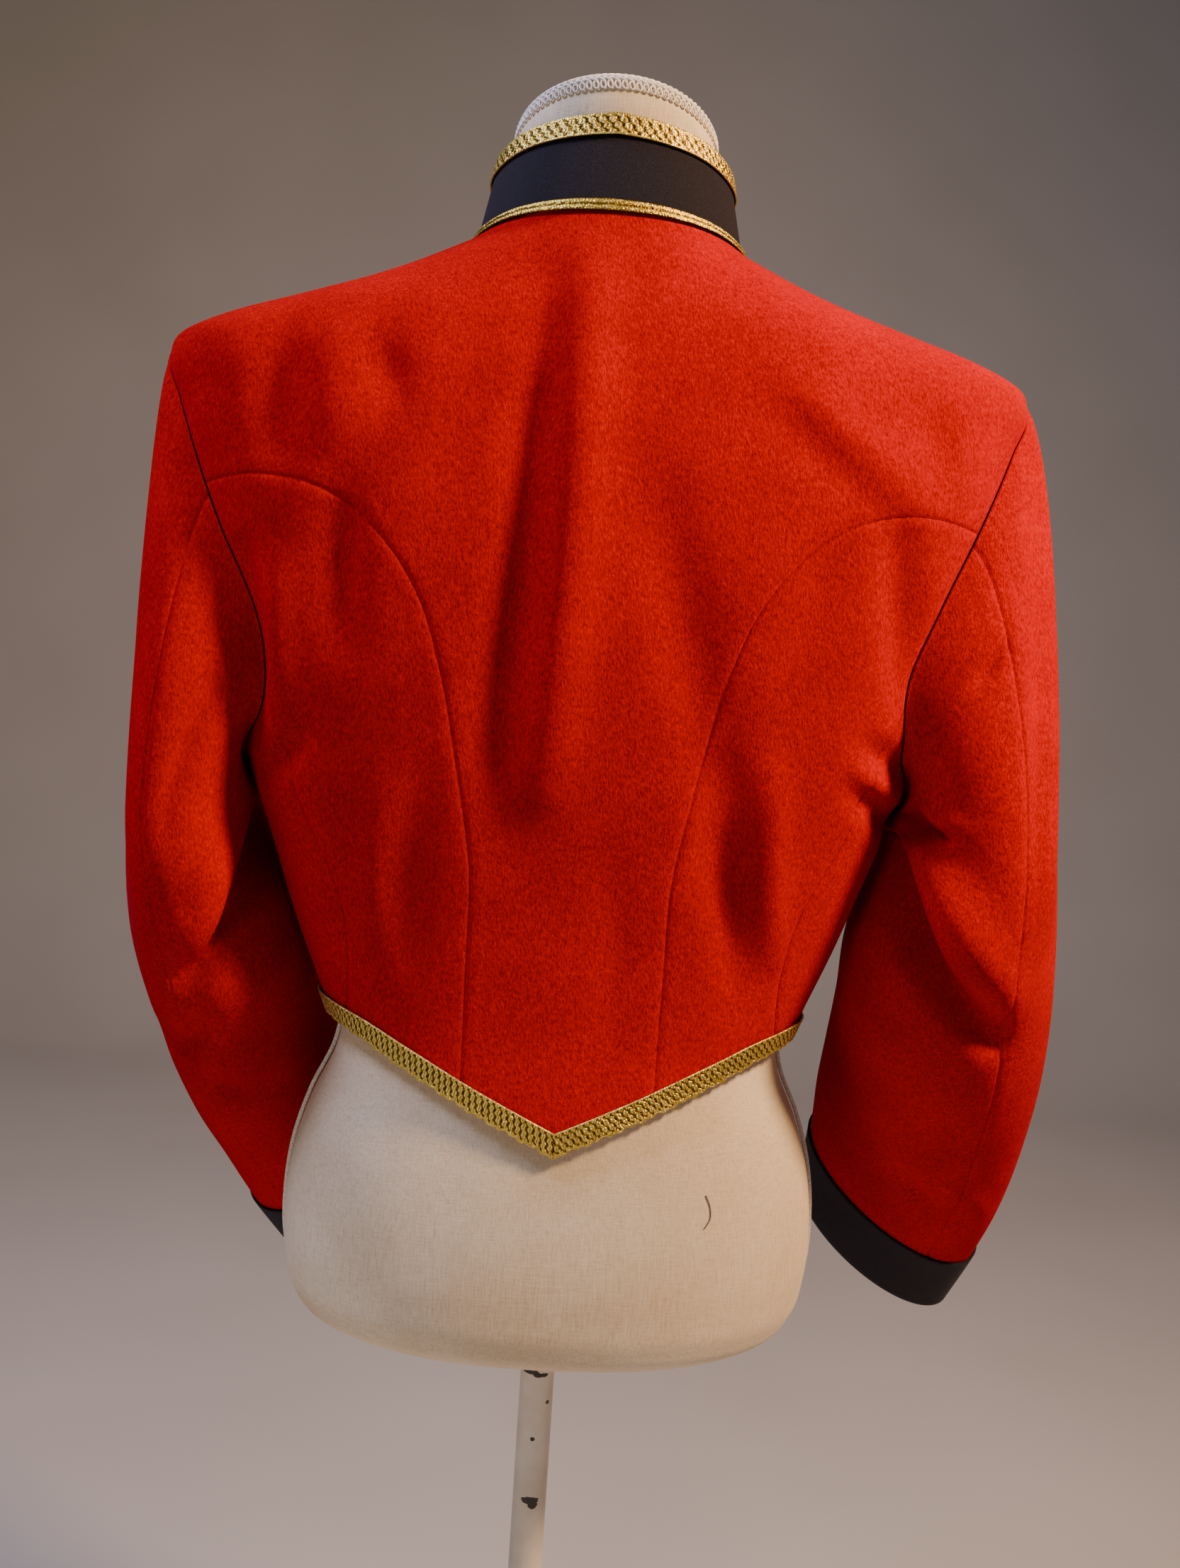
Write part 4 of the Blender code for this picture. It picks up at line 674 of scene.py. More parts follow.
def ring_angle(x, height, side):
    """Angle from the centre back of a place seen square on, the opposite of on_ring."""
    across = np.clip(np.abs(x) / ring_value("half_width", height), 0, 1)
    power = ring_value("squareness", height)
    along = (1 - across**power) ** (1 / power)
    return np.arctan2(across, np.where(side > 0, along, -along))


def crease_lift(x, y, places, half_width, depth):
    """Lift from one crease along a bent line; it is lower at its ends and fades past them."""
    share = np.linspace(0, 1, CREASE_STEPS + 1)
    line_x, line_y = (smooth((0, 0.5, 1), known, share) for known in zip(*places))
    near = np.hypot(x - line_x[0], y - line_y[0])
    along = np.zeros_like(near)
    for k in range(CREASE_STEPS):
        run_x, run_y = line_x[k + 1] - line_x[k], line_y[k + 1] - line_y[k]
        part = ((x - line_x[k]) * run_x + (y - line_y[k]) * run_y) / (run_x**2 + run_y**2)
        part = np.clip(part, 0, 1)
        far = np.hypot(x - line_x[k] - part * run_x, y - line_y[k] - part * run_y)
        closer = far < near
        along = np.where(closer, (k + part) / CREASE_STEPS, along)
        near = np.where(closer, far, near)
    taper = CREASE_END + (1 - CREASE_END) * np.clip(np.sin(pi * along), 0, 1) ** CREASE_ROUND
    return CREASE_FULLNESS * depth * taper * np.exp(-((near / half_width) ** 2))


def torso_crease_height(points):
    """How far the creases lift the cloth at each point of the plain torso."""
    lift = np.zeros(points.shape[:-1])
    for row in TORSO_CREASES:
        crease = dict(zip(CREASE_COLUMNS, row))
        places = [(crease[f"x{k}"], crease[f"h{k}"]) for k in range(3)]
        same_side = np.clip(points[..., 1] * crease["side"] / CREASE_FADE, 0, 1)
        size = (crease["half_width"], crease["depth"])
        lift += same_side * crease_lift(points[..., 0], points[..., 2], places, *size)
    return lift


def torso(angle, height, out=0.0):
    """Point of the jacket's outer face, creases included, or that far outside it."""
    plain = on_ring(angle, height)
    around, upward = ring_slopes(angle, height)
    normal = unit(np.cross(upward, around))
    normal = normal * np.where(np.sum(normal * plain * (1, 1, 0), -1, keepdims=True) < 0, -1, 1)
    return plain + normal * (torso_crease_height(plain) + out)[..., None]


def polyline(points):
    """Route through 2D points, read by the share of its length."""
    points = np.array(points, float)
    chord = lengths(points)

    def at(share):
        length = np.asarray(share) * chord[-1]
        return np.stack([smooth(chord, points[:, 0], length), smooth(chord, points[:, 1], length)], -1)

    return at


def evenly(route):
    """The same route, read by the share of its true length on the torso."""
    share = np.linspace(0, 1, ROUTE_SAMPLES)
    length = lengths(ring_place(route(share)))
    return lambda t: route(np.interp(np.asarray(t) * length[-1], length, share))


def seen_route(points, side):
    """Route through places seen square on, as angle and height on the torso."""
    seen = polyline(points)

    def at(share):
        place = seen(share)
        return np.stack([ring_angle(place[..., 0], place[..., 1], side), place[..., 1]], -1)

    return evenly(at)


def armhole(turn):
    """Angle and height of the armhole seam, by its turn in degrees from the shoulder point."""
    known, x, height, side = (column(ARMHOLE, ARMHOLE_COLUMNS, name) for name in ARMHOLE_COLUMNS)
    angle = ring_angle(x, height, side)
    turns = np.concatenate([known - 360, known, known + 360])
    return np.stack([smooth(turns, np.tile(angle, 3), turn), smooth(turns, np.tile(height, 3), turn)], -1)


def armhole_route(start, end):
    return evenly(lambda share: armhole(start + (end - start) * np.asarray(share)))


def chain(*runs):
    """Routes joined end to end; each run is a route and its number of steps."""
    steps = np.array([count for _, count in runs])
    ends = np.concatenate([[0], np.cumsum(steps)])

    def at(share):
        place = np.asarray(share, float) * ends[-1]
        found = np.zeros(place.shape + (2,))
        for (route, count), start in zip(runs, ends):
            local = (place - start) / count
            here = (local >= -1e-9) & (local <= 1 + 1e-9)
            found[here] = route(np.clip(local[here], 0, 1))
        return found

    return at


def ridge_route(start_height, end_height):
    """Shoulder seam along the top of the shoulder."""

    def at(share):
        height = start_height + (end_height - start_height) * np.asarray(share, float)
        return np.stack([np.full(height.shape, pi / 2), height], -1)

    return evenly(at)


def to_view(angle_height, side):
    """Angle and height as seen from above the shoulder blades or the chest."""
    points = ring_place(angle_height)
    return np.stack([points[..., 0], points[..., 2] - ROOF_VIEW * points[..., 1] * side], -1)


def from_view(seen, side):
    """The opposite of to_view, found by halving."""
    levels = np.linspace(JACKET_RINGS[0][0], JACKET_RINGS[-1][0], LEVEL_SAMPLES)
    widths = ring_value("half_width", levels)
    widest = np.argmax(widths)
    x, rise = seen[..., 0], seen[..., 1]
    low = np.interp(np.abs(x), widths[:widest], levels[:widest])
    high = np.interp(-np.abs(x), -widths[widest:], levels[widest:])
    for _ in range(HALVINGS):
        middle = (low + high) / 2
        over = middle - ROOF_VIEW * depth_at(x, middle, side) > rise
        high = np.where(over, middle, high)
        low = np.where(over, low, middle)
    height = (low + high) / 2
    return np.stack([ring_angle(x, height, side), height], -1)


def blend_edges(u, v, bottom, top, left, right):
    """Place inside four edges, as a blend of them."""
    u1, v1 = u[..., None], v[..., None]
    corners = (
        (1 - u1) * (1 - v1) * bottom(np.zeros_like(u))
        + u1 * (1 - v1) * bottom(np.ones_like(u))
        + (1 - u1) * v1 * top(np.zeros_like(u))
        + u1 * v1 * top(np.ones_like(u))
    )
    return (1 - v1) * bottom(u) + v1 * top(u) + (1 - u1) * left(v) + u1 * right(v) - corners


def region(u, v, edges, side):
    """Angle and height inside a panel's four edges; side 0 is the flank, blended as it lies."""
    if side == 0:
        return blend_edges(u, v, *edges)
    seen = [lambda share, edge=edge: to_view(edge(share), side) for edge in edges]
    place = from_view(blend_edges(u, v, *seen), side)
    for edge, share, on_edge in zip(edges, (u, u, v, v), (v == 0, v == 1, u == 0, u == 1)):
        place = np.where(on_edge[..., None], edge(share), place)
    return place


def spread_weights(shares, steps):
    """Weights of evenly spaced lines at each share, for a smooth curve through them."""
    known = np.linspace(0, 1, steps + 1)
    return np.stack([smooth(known, one, shares) for one in np.eye(steps + 1)], -1)


def fine_region(edges, side, coarse_u, coarse_v):
    """The region by its shares, smooth inside and exact along its four edges."""
    grid_u, grid_v = np.meshgrid(*even_lines((coarse_u, coarse_v)), indexing="ij")
    known = region(grid_u, grid_v, edges, side)

    def inside(u, v):
        return np.einsum("ni,ijk,nj->nk", spread_weights(u, coarse_u), known, spread_weights(v, coarse_v))

    def at(u, v):
        none, full = np.zeros_like(u), np.ones_like(u)
        bottom, top, left, right = edges
        off_bottom = (1 - v)[:, None] * (bottom(u) - inside(u, none))
        off_top = v[:, None] * (top(u) - inside(u, full))
        off_left = (1 - u)[:, None] * (left(v) - inside(none, v))
        off_right = u[:, None] * (right(v) - inside(full, v))
        return inside(u, v) + off_bottom + off_top + off_left + off_right

    return at


def hem_route(start, end):
    """Hem from one angle round the body to another, in degrees from the centre back."""

    def at(share):
        place = start + (end - start) * np.asarray(share, float)
        return np.stack([np.radians(place), reader(HEM, HEM_COLUMNS)("height", place)], -1)

    return evenly(at)


def seen_place(angle_height):
    """The x and height at which an angle and height are seen square on."""
    point = ring_place(angle_height)
    return (float(point[0]), float(point[2]))


def hem_place(degrees):
    return seen_place(hem_route(0, degrees)(np.array(1.0)))


def halfway(start, end):
    return ((start[0] + end[0]) / 2, (start[1] + end[1]) / 2)


def seen_run(route, start, end, side):
    """Stretch of a route of seen places, from one share of its length to another."""
    return seen_route(route(np.linspace(start, end, ROUTE_SAMPLES // 10)), side)


def share_at_height(route, height):
    shares = np.linspace(0, 1, ROUTE_SAMPLES)
    return float(shares[np.argmin(np.abs(route(shares)[:, 1] - height))])


def panel_patches():
    """Four-sided patches of one half of the torso: bottom, top, inner or near edge, far edge."""
    hem_ends = (CURVED_SEAM_HEM_DEGREES, SIDE_SEAM_HEM_DEGREES, SPLIT_HEM_DEGREES, HEM[-1][0])
    curved_hem, side_hem, split_hem, front_hem = map(hem_place, hem_ends)
    whole = polyline((curved_hem,) + CURVED_SEAM + (seen_place(armhole(CURVED_SEAM_TURN)),))
    bend_share = share_at_height(whole, CURVED_SEAM_BEND)
    bend = tuple(whole(bend_share))
    curved_low = seen_run(whole, 0, bend_share, 1)
    curved_high = seen_run(whole, bend_share, 1, 1)
    curved = chain((curved_low, LOW_ROWS), (curved_high, CURVED_STEPS))
    side = seen_route((side_hem,) + SIDE_SEAM + (seen_place(armhole(SIDE_SEAM_TURN)),), 1)
    cross_middle = (bend[0] / 2, CROSS_BACK_HEIGHT - CROSS_BACK_SAG)
    crossing, nape = (0, CROSS_BACK_HEIGHT), (0, NECK_BACK[0][1])
    cross_back = seen_route((crossing, cross_middle, bend), 1)
    centre_low = seen_route(((0, HEM[0][1]), (0, CROSS_BACK_HEIGHT / 2), crossing), 1)
    centre_high = seen_route((crossing, halfway(crossing, nape), nape), 1)
    back_top = chain(
        (seen_route(NECK_BACK, 1), NECK_STEPS),
        (ridge_route(NECK_BACK[-1][1], ARMHOLE[0][2]), SHOULDER_STEPS),
    )

    split_top = seen_place(armhole(FRONT_SPLIT_TURN))
    split = seen_route((split_hem, halfway(split_hem, split_top), split_top), -1)
    edge_up = polyline((front_hem,) + tuple(reversed(FRONT_EDGE)))
    chest_share = share_at_height(edge_up, CHEST_HEIGHT)
    edge_low = seen_run(edge_up, 0, chest_share, -1)
    edge_high = seen_run(edge_up, chest_share, 1, -1)
    chest_middle = halfway(split_top, (0, CHEST_HEIGHT))
    chest = seen_route((split_top, chest_middle, tuple(edge_up(chest_share))), -1)
    front_top = chain(
        (ridge_route(ARMHOLE[0][2], NECK_BACK[-1][1]), SHOULDER_STEPS),
        (seen_route(NECK_FRONT, -1), NECK_STEPS),
    )
    return {
        "back_low": (hem_route(0, CURVED_SEAM_HEM_DEGREES), cross_back, centre_low, curved_low),
        "back_high": (
            chain((cross_back, CROSS_STEPS), (curved_high, CURVED_STEPS)),
            back_top,
            centre_high,
            armhole_route(CURVED_SEAM_TURN, 0),
        ),
        "side_back": (
            hem_route(CURVED_SEAM_HEM_DEGREES, SIDE_SEAM_HEM_DEGREES),
            armhole_route(CURVED_SEAM_TURN, SIDE_SEAM_TURN),
            curved,
            side,
        ),
        "flank": (
            hem_route(SIDE_SEAM_HEM_DEGREES, SPLIT_HEM_DEGREES),
            armhole_route(SIDE_SEAM_TURN, FRONT_SPLIT_TURN),
            side,
            split,
        ),
        "front_low": (hem_route(SPLIT_HEM_DEGREES, HEM[-1][0]), chest, split, edge_low),
        "front_high": (chest, front_top, armhole_route(FRONT_SPLIT_TURN, 360), edge_high),
    }


patch_edges = panel_patches()
side_rows = LOW_ROWS + CURVED_STEPS
across = NECK_STEPS + SHOULDER_STEPS


def crowded(count, start, end, marks=()):
    """Shares from 0 to 1, closer together at an end that is sewn, with lines on the marks."""
    even = np.linspace(0, 1, count + 1)
    if start and end:
        shares = even - CROWDED_MIDDLE * np.sin(2 * pi * even) / (2 * pi)
    elif end:
        shares = EVEN_SHARE * even + CROWDED_SHARE * np.sin(pi * even / 2)
    elif start:
        shares = 1 - EVEN_SHARE * (1 - even) - CROWDED_SHARE * np.sin(pi * (1 - even) / 2)
    else:
        shares = even
    for mark in marks:
        shares[np.argmin(np.abs(shares - mark))] = mark
    return shares


back_across = crowded(30, False, True, marks=(2 * NECK_STEPS / across,))
high_across = np.concatenate([back_across / 2, 0.5 + crowded(34, True, True)[1:] / 2])
front_across = crowded(52, True, False, marks=(SHOULDER_STEPS / across,))
rows_up = crowded(100, False, True, marks=(LOW_ROWS / side_rows,))

# Side, coarse steps across and up, fine lines across and up of each patch
PATCHES = {
    "back_low": (1, CROSS_STEPS, LOW_ROWS, back_across, crowded(88, False, False)),
    "back_high": (1, across, HIGH_ROWS, high_across, crowded(56, True, True)),
    "side_back": (1, SIDE_BACK_STEPS, side_rows, crowded(36, True, True), rows_up),
    "flank": (0, UNDERARM_STEPS, side_rows, crowded(40, True, False), rows_up),
    "front_low": (-1, across, side_rows, front_across, rows_up),
    "front_high": (-1, across, HIGH_ROWS + 2, front_across, crowded(56, False, True)),
}

seams = [patch_edges["side_back"][2], patch_edges["side_back"][3]]
seams += [patch_edges["back_high"][1], patch_edges["front_high"][1], armhole_route(0, 360)]
seam_places = np.concatenate([seam(np.linspace(0, 1, 2 * ROUTE_SAMPLES)) for seam in seams])
seam_points = ring_place(seam_places)
seam_tree = kdtree.KDTree(len(seam_points))
for k, point in enumerate(seam_points):
    seam_tree.insert(point, k)
seam_tree.balance()


def seam_lift(away):
    """Height of the pressed seam: a dip on the stitch line and the turnings' edge beside it."""
    ridge = SEAM_RIDGE * np.exp(-(((away - SEAM_RIDGE_AWAY) / SEAM_RIDGE_WIDTH) ** 2))
    return ridge - SEAM_DIP * np.exp(-((away / SEAM_DIP_WIDTH) ** 2))


def torso_points(angle_height, sign, out=0.0, sewn=False):
    """World points of the torso's outer face on one side; sign -1 is the wearer's right."""
    if sewn:
        plain = ring_place(angle_height)
        out = out + seam_lift(np.array([seam_tree.find(point)[2] for point in plain]))
    points = torso(sign * angle_height[..., 0], angle_height[..., 1], out)
    return points + (0, 0, HEM_POINT_HEIGHT)


# Melton: fulled and raised wool, dyed scarlet in the piece. The nap hides the weave and leaves a
# fine mottle of reds, matt at every angle.
NAP = 0.0011
NAP_DRIFT = 0.0030
scarlet_melton, tree, shader, where = new_material(
    "scarlet_melton", 0.9, Specular_IOR_Level=0.02, Sheen_Weight=0.02, Sheen_Tint=linear("#B8A0FF")
)
brushed = add_node(tree, "Mapping", {}, {"Vector": where, "Scale": (1.0, 1.0, 0.45)})
fine = {"Scale": 1 / NAP, "Detail": 4.0, "Roughness": 0.65}
nap = add_node(tree, "TexNoise", {}, {"Vector": brushed, **fine})
drift = add_node(tree, "TexNoise", {}, {"Vector": where, "Scale": 1 / NAP_DRIFT, "Detail": 3.0})
mottle = add_node(tree, "Mix", {"data_type": "FLOAT"}, {0: 0.25, 2: nap, 3: drift})
stops = ((0.34, "#940205"), (0.5, "#BA0307"), (0.68, "#DC0609"))
tone = add_node(tree, "ValToRGB", {"stops": stops}, {"Fac": mottle})
clouds = add_node(tree, "TexNoise", {}, {"Vector": where, "Scale": 1 / 0.045})
shade = add_node(tree, "ValToRGB", {"stops": ((0.32, "#EEE6E6"), (0.68, "#FFFFFF"))}, {"Fac": clouds})
melton = add_node(tree, "Mix", {"data_type": "RGBA", "blend_type": "MULTIPLY"}, {0: 1.0, 6: tone, 7: shade})
bump = add_node(tree, "Bump", {}, {"Height": mottle, "Distance": 0.0009})
dress(tree, shader, melton.outputs[2], bump)


def thicken(piece, thickness):
    """Gives a surface its thickness, inside its outer face."""
    wall = piece.modifiers.new("thickness", "SOLIDIFY")
    wall.thickness = thickness
    wall.offset = -1


def cloth_sheet(name, patches, thickness, material, slot, *nodes):
    """A sheet of cloth from welded grids, with its thickness inside its outer face."""
    work = bmesh.new()
    for point_at, lines_u, lines_v in patches:
        fill_grid(work, point_at, lines_u, lines_v)
    bmesh.ops.remove_doubles(work, verts=work.verts, dist=PATCH_WELD)
    piece = add_piece(name, finish_mesh(work, name), material, slot, *nodes)
    thicken(piece, thickness)
    return piece


def torso_patch(part, sign):
    side, coarse_u, coarse_v, lines_u, lines_v = PATCHES[part]
    place = fine_region(patch_edges[part], side, coarse_u, coarse_v)
    return (lambda u, v, out: torso_points(place(u, v), sign, out, sewn=True)), lines_u, lines_v


def panel(name, parts, signs, node):
    pieces = [torso_patch(part, sign) for part in parts for sign in signs]
    return cloth_sheet(name, pieces, CLOTH, scarlet_melton, "scarlet_melton", node)


back = panel("centre_back", ("back_low", "back_high"), (1, -1), "back")
for hand, sign in HANDS.items():
    side_back = panel(f"curved_side_back_{hand}", ("side_back",), (sign,), f"side_back_{hand}")
    front = panel(f"jacket_front_{hand}", ("flank", "front_low", "front_high"), (sign,), f"front_{hand}")


# Sleeves and cuffs
# Two-piece sleeves in the same melton, set in with a rounded head and bent at the elbow, where
# they crease. A plain navy cuff is sewn over each end.
SLEEVE_COLUMNS = ("x", "y", "height", "half_across", "half_deep", "tilt", "lean")
SLEEVE_SECTIONS = {
    "left": (
        (0.2235, 0.005, 0.165, 0.037, 0.076, 2, 2),
        (0.213, -0.006, 0.1, 0.0468, 0.072, 6, 12),
        (0.201, -0.032, 0.048, 0.05, 0.069, 14, 26),
        (0.19, -0.074, -0.004, 0.053, 0.064, 20, 36),
        (0.178, -0.12, -0.05, 0.057, 0.056, 26, 42),
        (0.1635, -0.161, -0.098, 0.06, 0.048, 30, 44),
        (0.148, -0.196, -0.141, 0.06, 0.043, 32, 44),
    ),
    "right": (
        (0.2365, 0.005, 0.165, 0.0505, 0.076, 2, 2),
        (0.233, -0.002, 0.1, 0.062, 0.07, 4, 10),
        (0.237, -0.024, 0.045, 0.066, 0.067, 10, 22),
        (0.24, -0.056, -0.005, 0.069, 0.062, 17, 30),
        (0.242, -0.09, -0.05, 0.071, 0.056, 24, 34),
        (0.242, -0.122, -0.095, 0.069, 0.048, 29, 34),
        (0.238, -0.15, -0.142, 0.064, 0.043, 30, 34),
    ),
}
HIND_SEAM_TURN = 72.0
FORE_SEAM_TURN = 252.0
CAP_ROUND_TOP = {"left": 0.008, "right": 0.018}
CAP_ROUND_UNDER = 0.010
CAP_PULL = 0.45
CAP_LEAVES = {"across": 0.90, "back": 0.35, "down": 0.40}
CAP_DRIFT = {"left": 0.02, "right": 0.09}
CAP_ROWS, ARM_ROWS = 7, 11
CUFF_DEPTH = 0.055
CUFF_GAP = 0.0004
CUFF_CLOTH = 0.0014
SLEEVE_RADIUS = 0.060
SLEEVE_LENGTH = 0.600
SLEEVE_GRID = (100, 196)
SLEEVE_STEP = 0.001
MIDDLE_TURNS = 20
CUFF_GRID = (96, 18)
SLEEVE_CREASE_COLUMNS = ("t0", "r0", "t1", "r1", "t2", "r2", "half_width", "depth")
SLEEVE_CREASES = {
    "left": (
        (204, 0.4, 152, 0.46, 118, 0.5, 0.012, -0.012),
        (132, 0.48, 104, 0.51, 80, 0.525, 0.007, -0.009),
        (128, 0.43, 108, 0.475, 88, 0.485, 0.012, 0.005),
        (160, 0.53, 124, 0.55, 92, 0.56, 0.014, 0.0044),
        (92, 0.555, 66, 0.59, 40, 0.6, 0.01, -0.0044),
        (118, 0.66, 94, 0.655, 80, 0.64, 0.008, -0.0044),
        (110, 0.6, 92, 0.605, 76, 0.6, 0.01, 0.0026),
        (62, 0.83, 84, 0.84, 104, 0.83, 0.01, 0.0016),
        (112, 0.2, 104, 0.3, 94, 0.4, 0.012, -0.0036),
        (255, 0.55, 278, 0.57, 300, 0.58, 0.01, -0.0056),
        (250, 0.63, 275, 0.64, 296, 0.63, 0.01, -0.0036),
        (258, 0.49, 276, 0.5, 292, 0.5, 0.01, 0.0024),
        (285, 0.2, 282, 0.3, 275, 0.4, 0.014, -0.0036),
        (15, 0.3, 26, 0.38, 36, 0.46, 0.014, -0.0018),
    ),
    "right": (
        (172, 0.38, 124, 0.475, 78, 0.532, 0.009, -0.017),
        (150, 0.385, 112, 0.44, 76, 0.492, 0.013, 0.0076),
        (156, 0.25, 142, 0.33, 130, 0.365, 0.007, -0.0084),
        (140, 0.27, 130, 0.32, 118, 0.35, 0.01, 0.0026),
        (112, 0.74, 98, 0.77, 86, 0.79, 0.008, -0.003),
        (92, 0.17, 84, 0.18, 76, 0.185, 0.006, -0.0026),
        (52, 0.24, 60, 0.34, 70, 0.42, 0.012, -0.003),
        (52, 0.78, 66, 0.75, 84, 0.74, 0.01, 0.0018),
        (260, 0.56, 286, 0.59, 310, 0.62, 0.01, -0.0056),
        (256, 0.65, 282, 0.67, 306, 0.69, 0.01, -0.0034),
        (262, 0.5, 280, 0.51, 298, 0.53, 0.01, 0.0022),
        (280, 0.22, 276, 0.32, 268, 0.42, 0.014, -0.0036),
        (36, 0.12, 44, 0.2, 50, 0.28, 0.013, -0.002),
        (20, 0.34, 30, 0.42, 36, 0.5, 0.014, -0.0016),
    ),
}


# One place a degree, over one and a half turns
dent_turns = np.linspace(-180, 360, 541)
armhole_dents = {}
for hand, sign in HANDS.items():
    angle, height = sign * armhole(dent_turns)[:, 0], armhole(dent_turns)[:, 1]
    armhole_dents[hand] = (torso(angle, height) - on_ring(angle, height)) * (sign, 1, 1)


def armhole_dent(hand, turn):
    """How far the body's creases move the armhole seam, on the +X side."""
    dents = armhole_dents[hand]
    return np.stack([np.interp(np.degrees(turn), dent_turns, dents[:, k]) for k in range(3)], -1)


def sleeve_section(hand, index, turn):
    """One section of the sleeve: turn 0 is outside, 90 is behind."""
    place = dict(zip(SLEEVE_COLUMNS, SLEEVE_SECTIONS[hand][index]))
    across, deep = place["half_across"], place["half_deep"]
    tilt, lean = radians(place["tilt"]), radians(place["lean"])
    out, back = np.cos(turn), np.sin(turn)
    return np.stack(
        [
            place["x"] + out * across * cos(tilt),
            place["y"] + back * deep * cos(lean),
            place["height"] - out * across * sin(tilt) - back * deep * sin(lean),
        ],
        -1,
    )


def plain_sleeve(hand, turn, run):
    """Point of the sleeve without folds, on the +X side; run goes from armhole 0 to cuff 1."""
    turn = np.asarray(turn, float)
    sections = np.stack([sleeve_section(hand, i, turn) for i in range(len(SLEEVE_SECTIONS[hand]))])
    seam = armhole(np.degrees(turn))
    away = (CAP_LEAVES["across"], CAP_LEAVES["back"] * np.sin(turn), -CAP_LEAVES["down"])
    away = unit(np.stack(np.broadcast_arrays(*away), -1))
    start = ring_place(seam) + armhole_dent(hand, turn)
    first = sections[0]
    down = np.array([CAP_DRIFT[hand], 0, -1])
    span = np.linalg.norm(first - start, axis=-1, keepdims=True)
    outside = ((1 + np.cos(turn)) / 2)[..., None]
    rounding = CAP_ROUND_UNDER + (CAP_ROUND_TOP[hand] - CAP_ROUND_UNDER) * outside
    cap_share = CAP_ROWS / (CAP_ROWS + ARM_ROWS)
    t = np.clip(run / cap_share, 0, 1)[..., None]
    cap = (
        (1 - t) ** 3 * start
        + 3 * (1 - t) ** 2 * t * (start + away * rounding)
        + 3 * (1 - t) * t**2 * (first - down * span * CAP_PULL)
        + t**3 * first
    )
    count = len(sections)
    place = np.clip((run - cap_share) / (1 - cap_share), 0, 1) * (count - 1)
    i = np.clip(place.astype(int), 0, count - 2)
    s = (place - i)[..., None]

    def section(k):
        return np.take_along_axis(sections, np.clip(k, 0, count - 1)[None, ..., None], 0)[0]

    near, far = section(i), section(i + 1)
    first_leave = down * np.linalg.norm(far - near, axis=-1, keepdims=True)
    leave = np.where((i > 0)[..., None], (far - section(i - 1)) / 2, first_leave)
    arrive = np.where((i < count - 2)[..., None], (section(i + 2) - near) / 2, far - near)
    return np.where(t < 1, cap, cubic(s, near, far, leave, arrive))


def sleeve(hand, turn, run, out=0.0):
    """World point of the sleeve's outer face, creases included, or that far outside it."""
    step = SLEEVE_STEP
    plain = plain_sleeve(hand, turn, run)
    around = plain_sleeve(hand, turn + step, run) - plain_sleeve(hand, turn - step, run)
    before, after = np.clip(run - step, 0, 1), np.clip(run + step, 0, 1)
    along = plain_sleeve(hand, turn, after) - plain_sleeve(hand, turn, before)
    normal = unit(np.cross(along, around))
    lift = np.zeros(plain.shape[:-1])
    for row in SLEEVE_CREASES[hand]:
        crease = dict(zip(SLEEVE_CREASE_COLUMNS, row))
        places = [
            (radians(crease[f"t{k}"]) * SLEEVE_RADIUS, crease[f"r{k}"] * SLEEVE_LENGTH) for k in range(3)
        ]
        size = (crease["half_width"], crease["depth"])
        for whole_turn in (0, 2 * pi):
            around_arm = (turn + whole_turn) * SLEEVE_RADIUS
            lift = lift + crease_lift(around_arm, run * SLEEVE_LENGTH, places, *size)
    points = plain + normal * (lift + out)[..., None]
    return points * (HANDS[hand], 1, 1) + (0, 0, HEM_POINT_HEIGHT)


def sleeve_seam_lift(turn, run):
    """Pressed seams along the sleeve and round its head."""
    nearest = np.full(np.shape(turn), 1.0)
    for seam_turn in (HIND_SEAM_TURN, FORE_SEAM_TURN - 360, FORE_SEAM_TURN):
        nearest = np.minimum(nearest, np.abs(turn - radians(seam_turn)) * SLEEVE_RADIUS)
    return seam_lift(nearest) + seam_lift(run * SLEEVE_LENGTH)


def cuff_start(hand):
    """Share of the sleeve at which the cuff's upper edge lies."""
    runs = np.linspace(0, 1, ROUTE_SAMPLES)
    turns = np.linspace(0, 2 * pi, MIDDLE_TURNS, endpoint=False)
    middles = np.array([sleeve(hand, turns, np.full(len(turns), run)).mean(axis=0) for run in runs])
    left = np.linalg.norm(middles - middles[-1], axis=1)
    return float(runs[np.argmin(np.abs(left - CUFF_DEPTH))])


# Navy cloth: smooth fulled facing cloth, nearly black, matt, with a faint dusty nap.
NAVY_NAP = 0.0008
navy_cloth, tree, shader, where = new_material(
    "navy_cloth", 0.85, Specular_IOR_Level=0.2, Sheen_Weight=0.08, Sheen_Tint=linear("#C9C2D2")
)
fine = {"Scale": 1 / NAVY_NAP, "Detail": 4.0, "Roughness": 0.65}
nap = add_node(tree, "TexNoise", {}, {"Vector": where, **fine})
stops = ((0.36, "#100E16"), (0.52, "#19161F"), (0.68, "#262230"))
tone = add_node(tree, "ValToRGB", {"stops": stops}, {"Fac": nap})
bump = add_node(tree, "Bump", {}, {"Height": nap, "Distance": 0.0004})
dress(tree, shader, tone.outputs[0], bump)

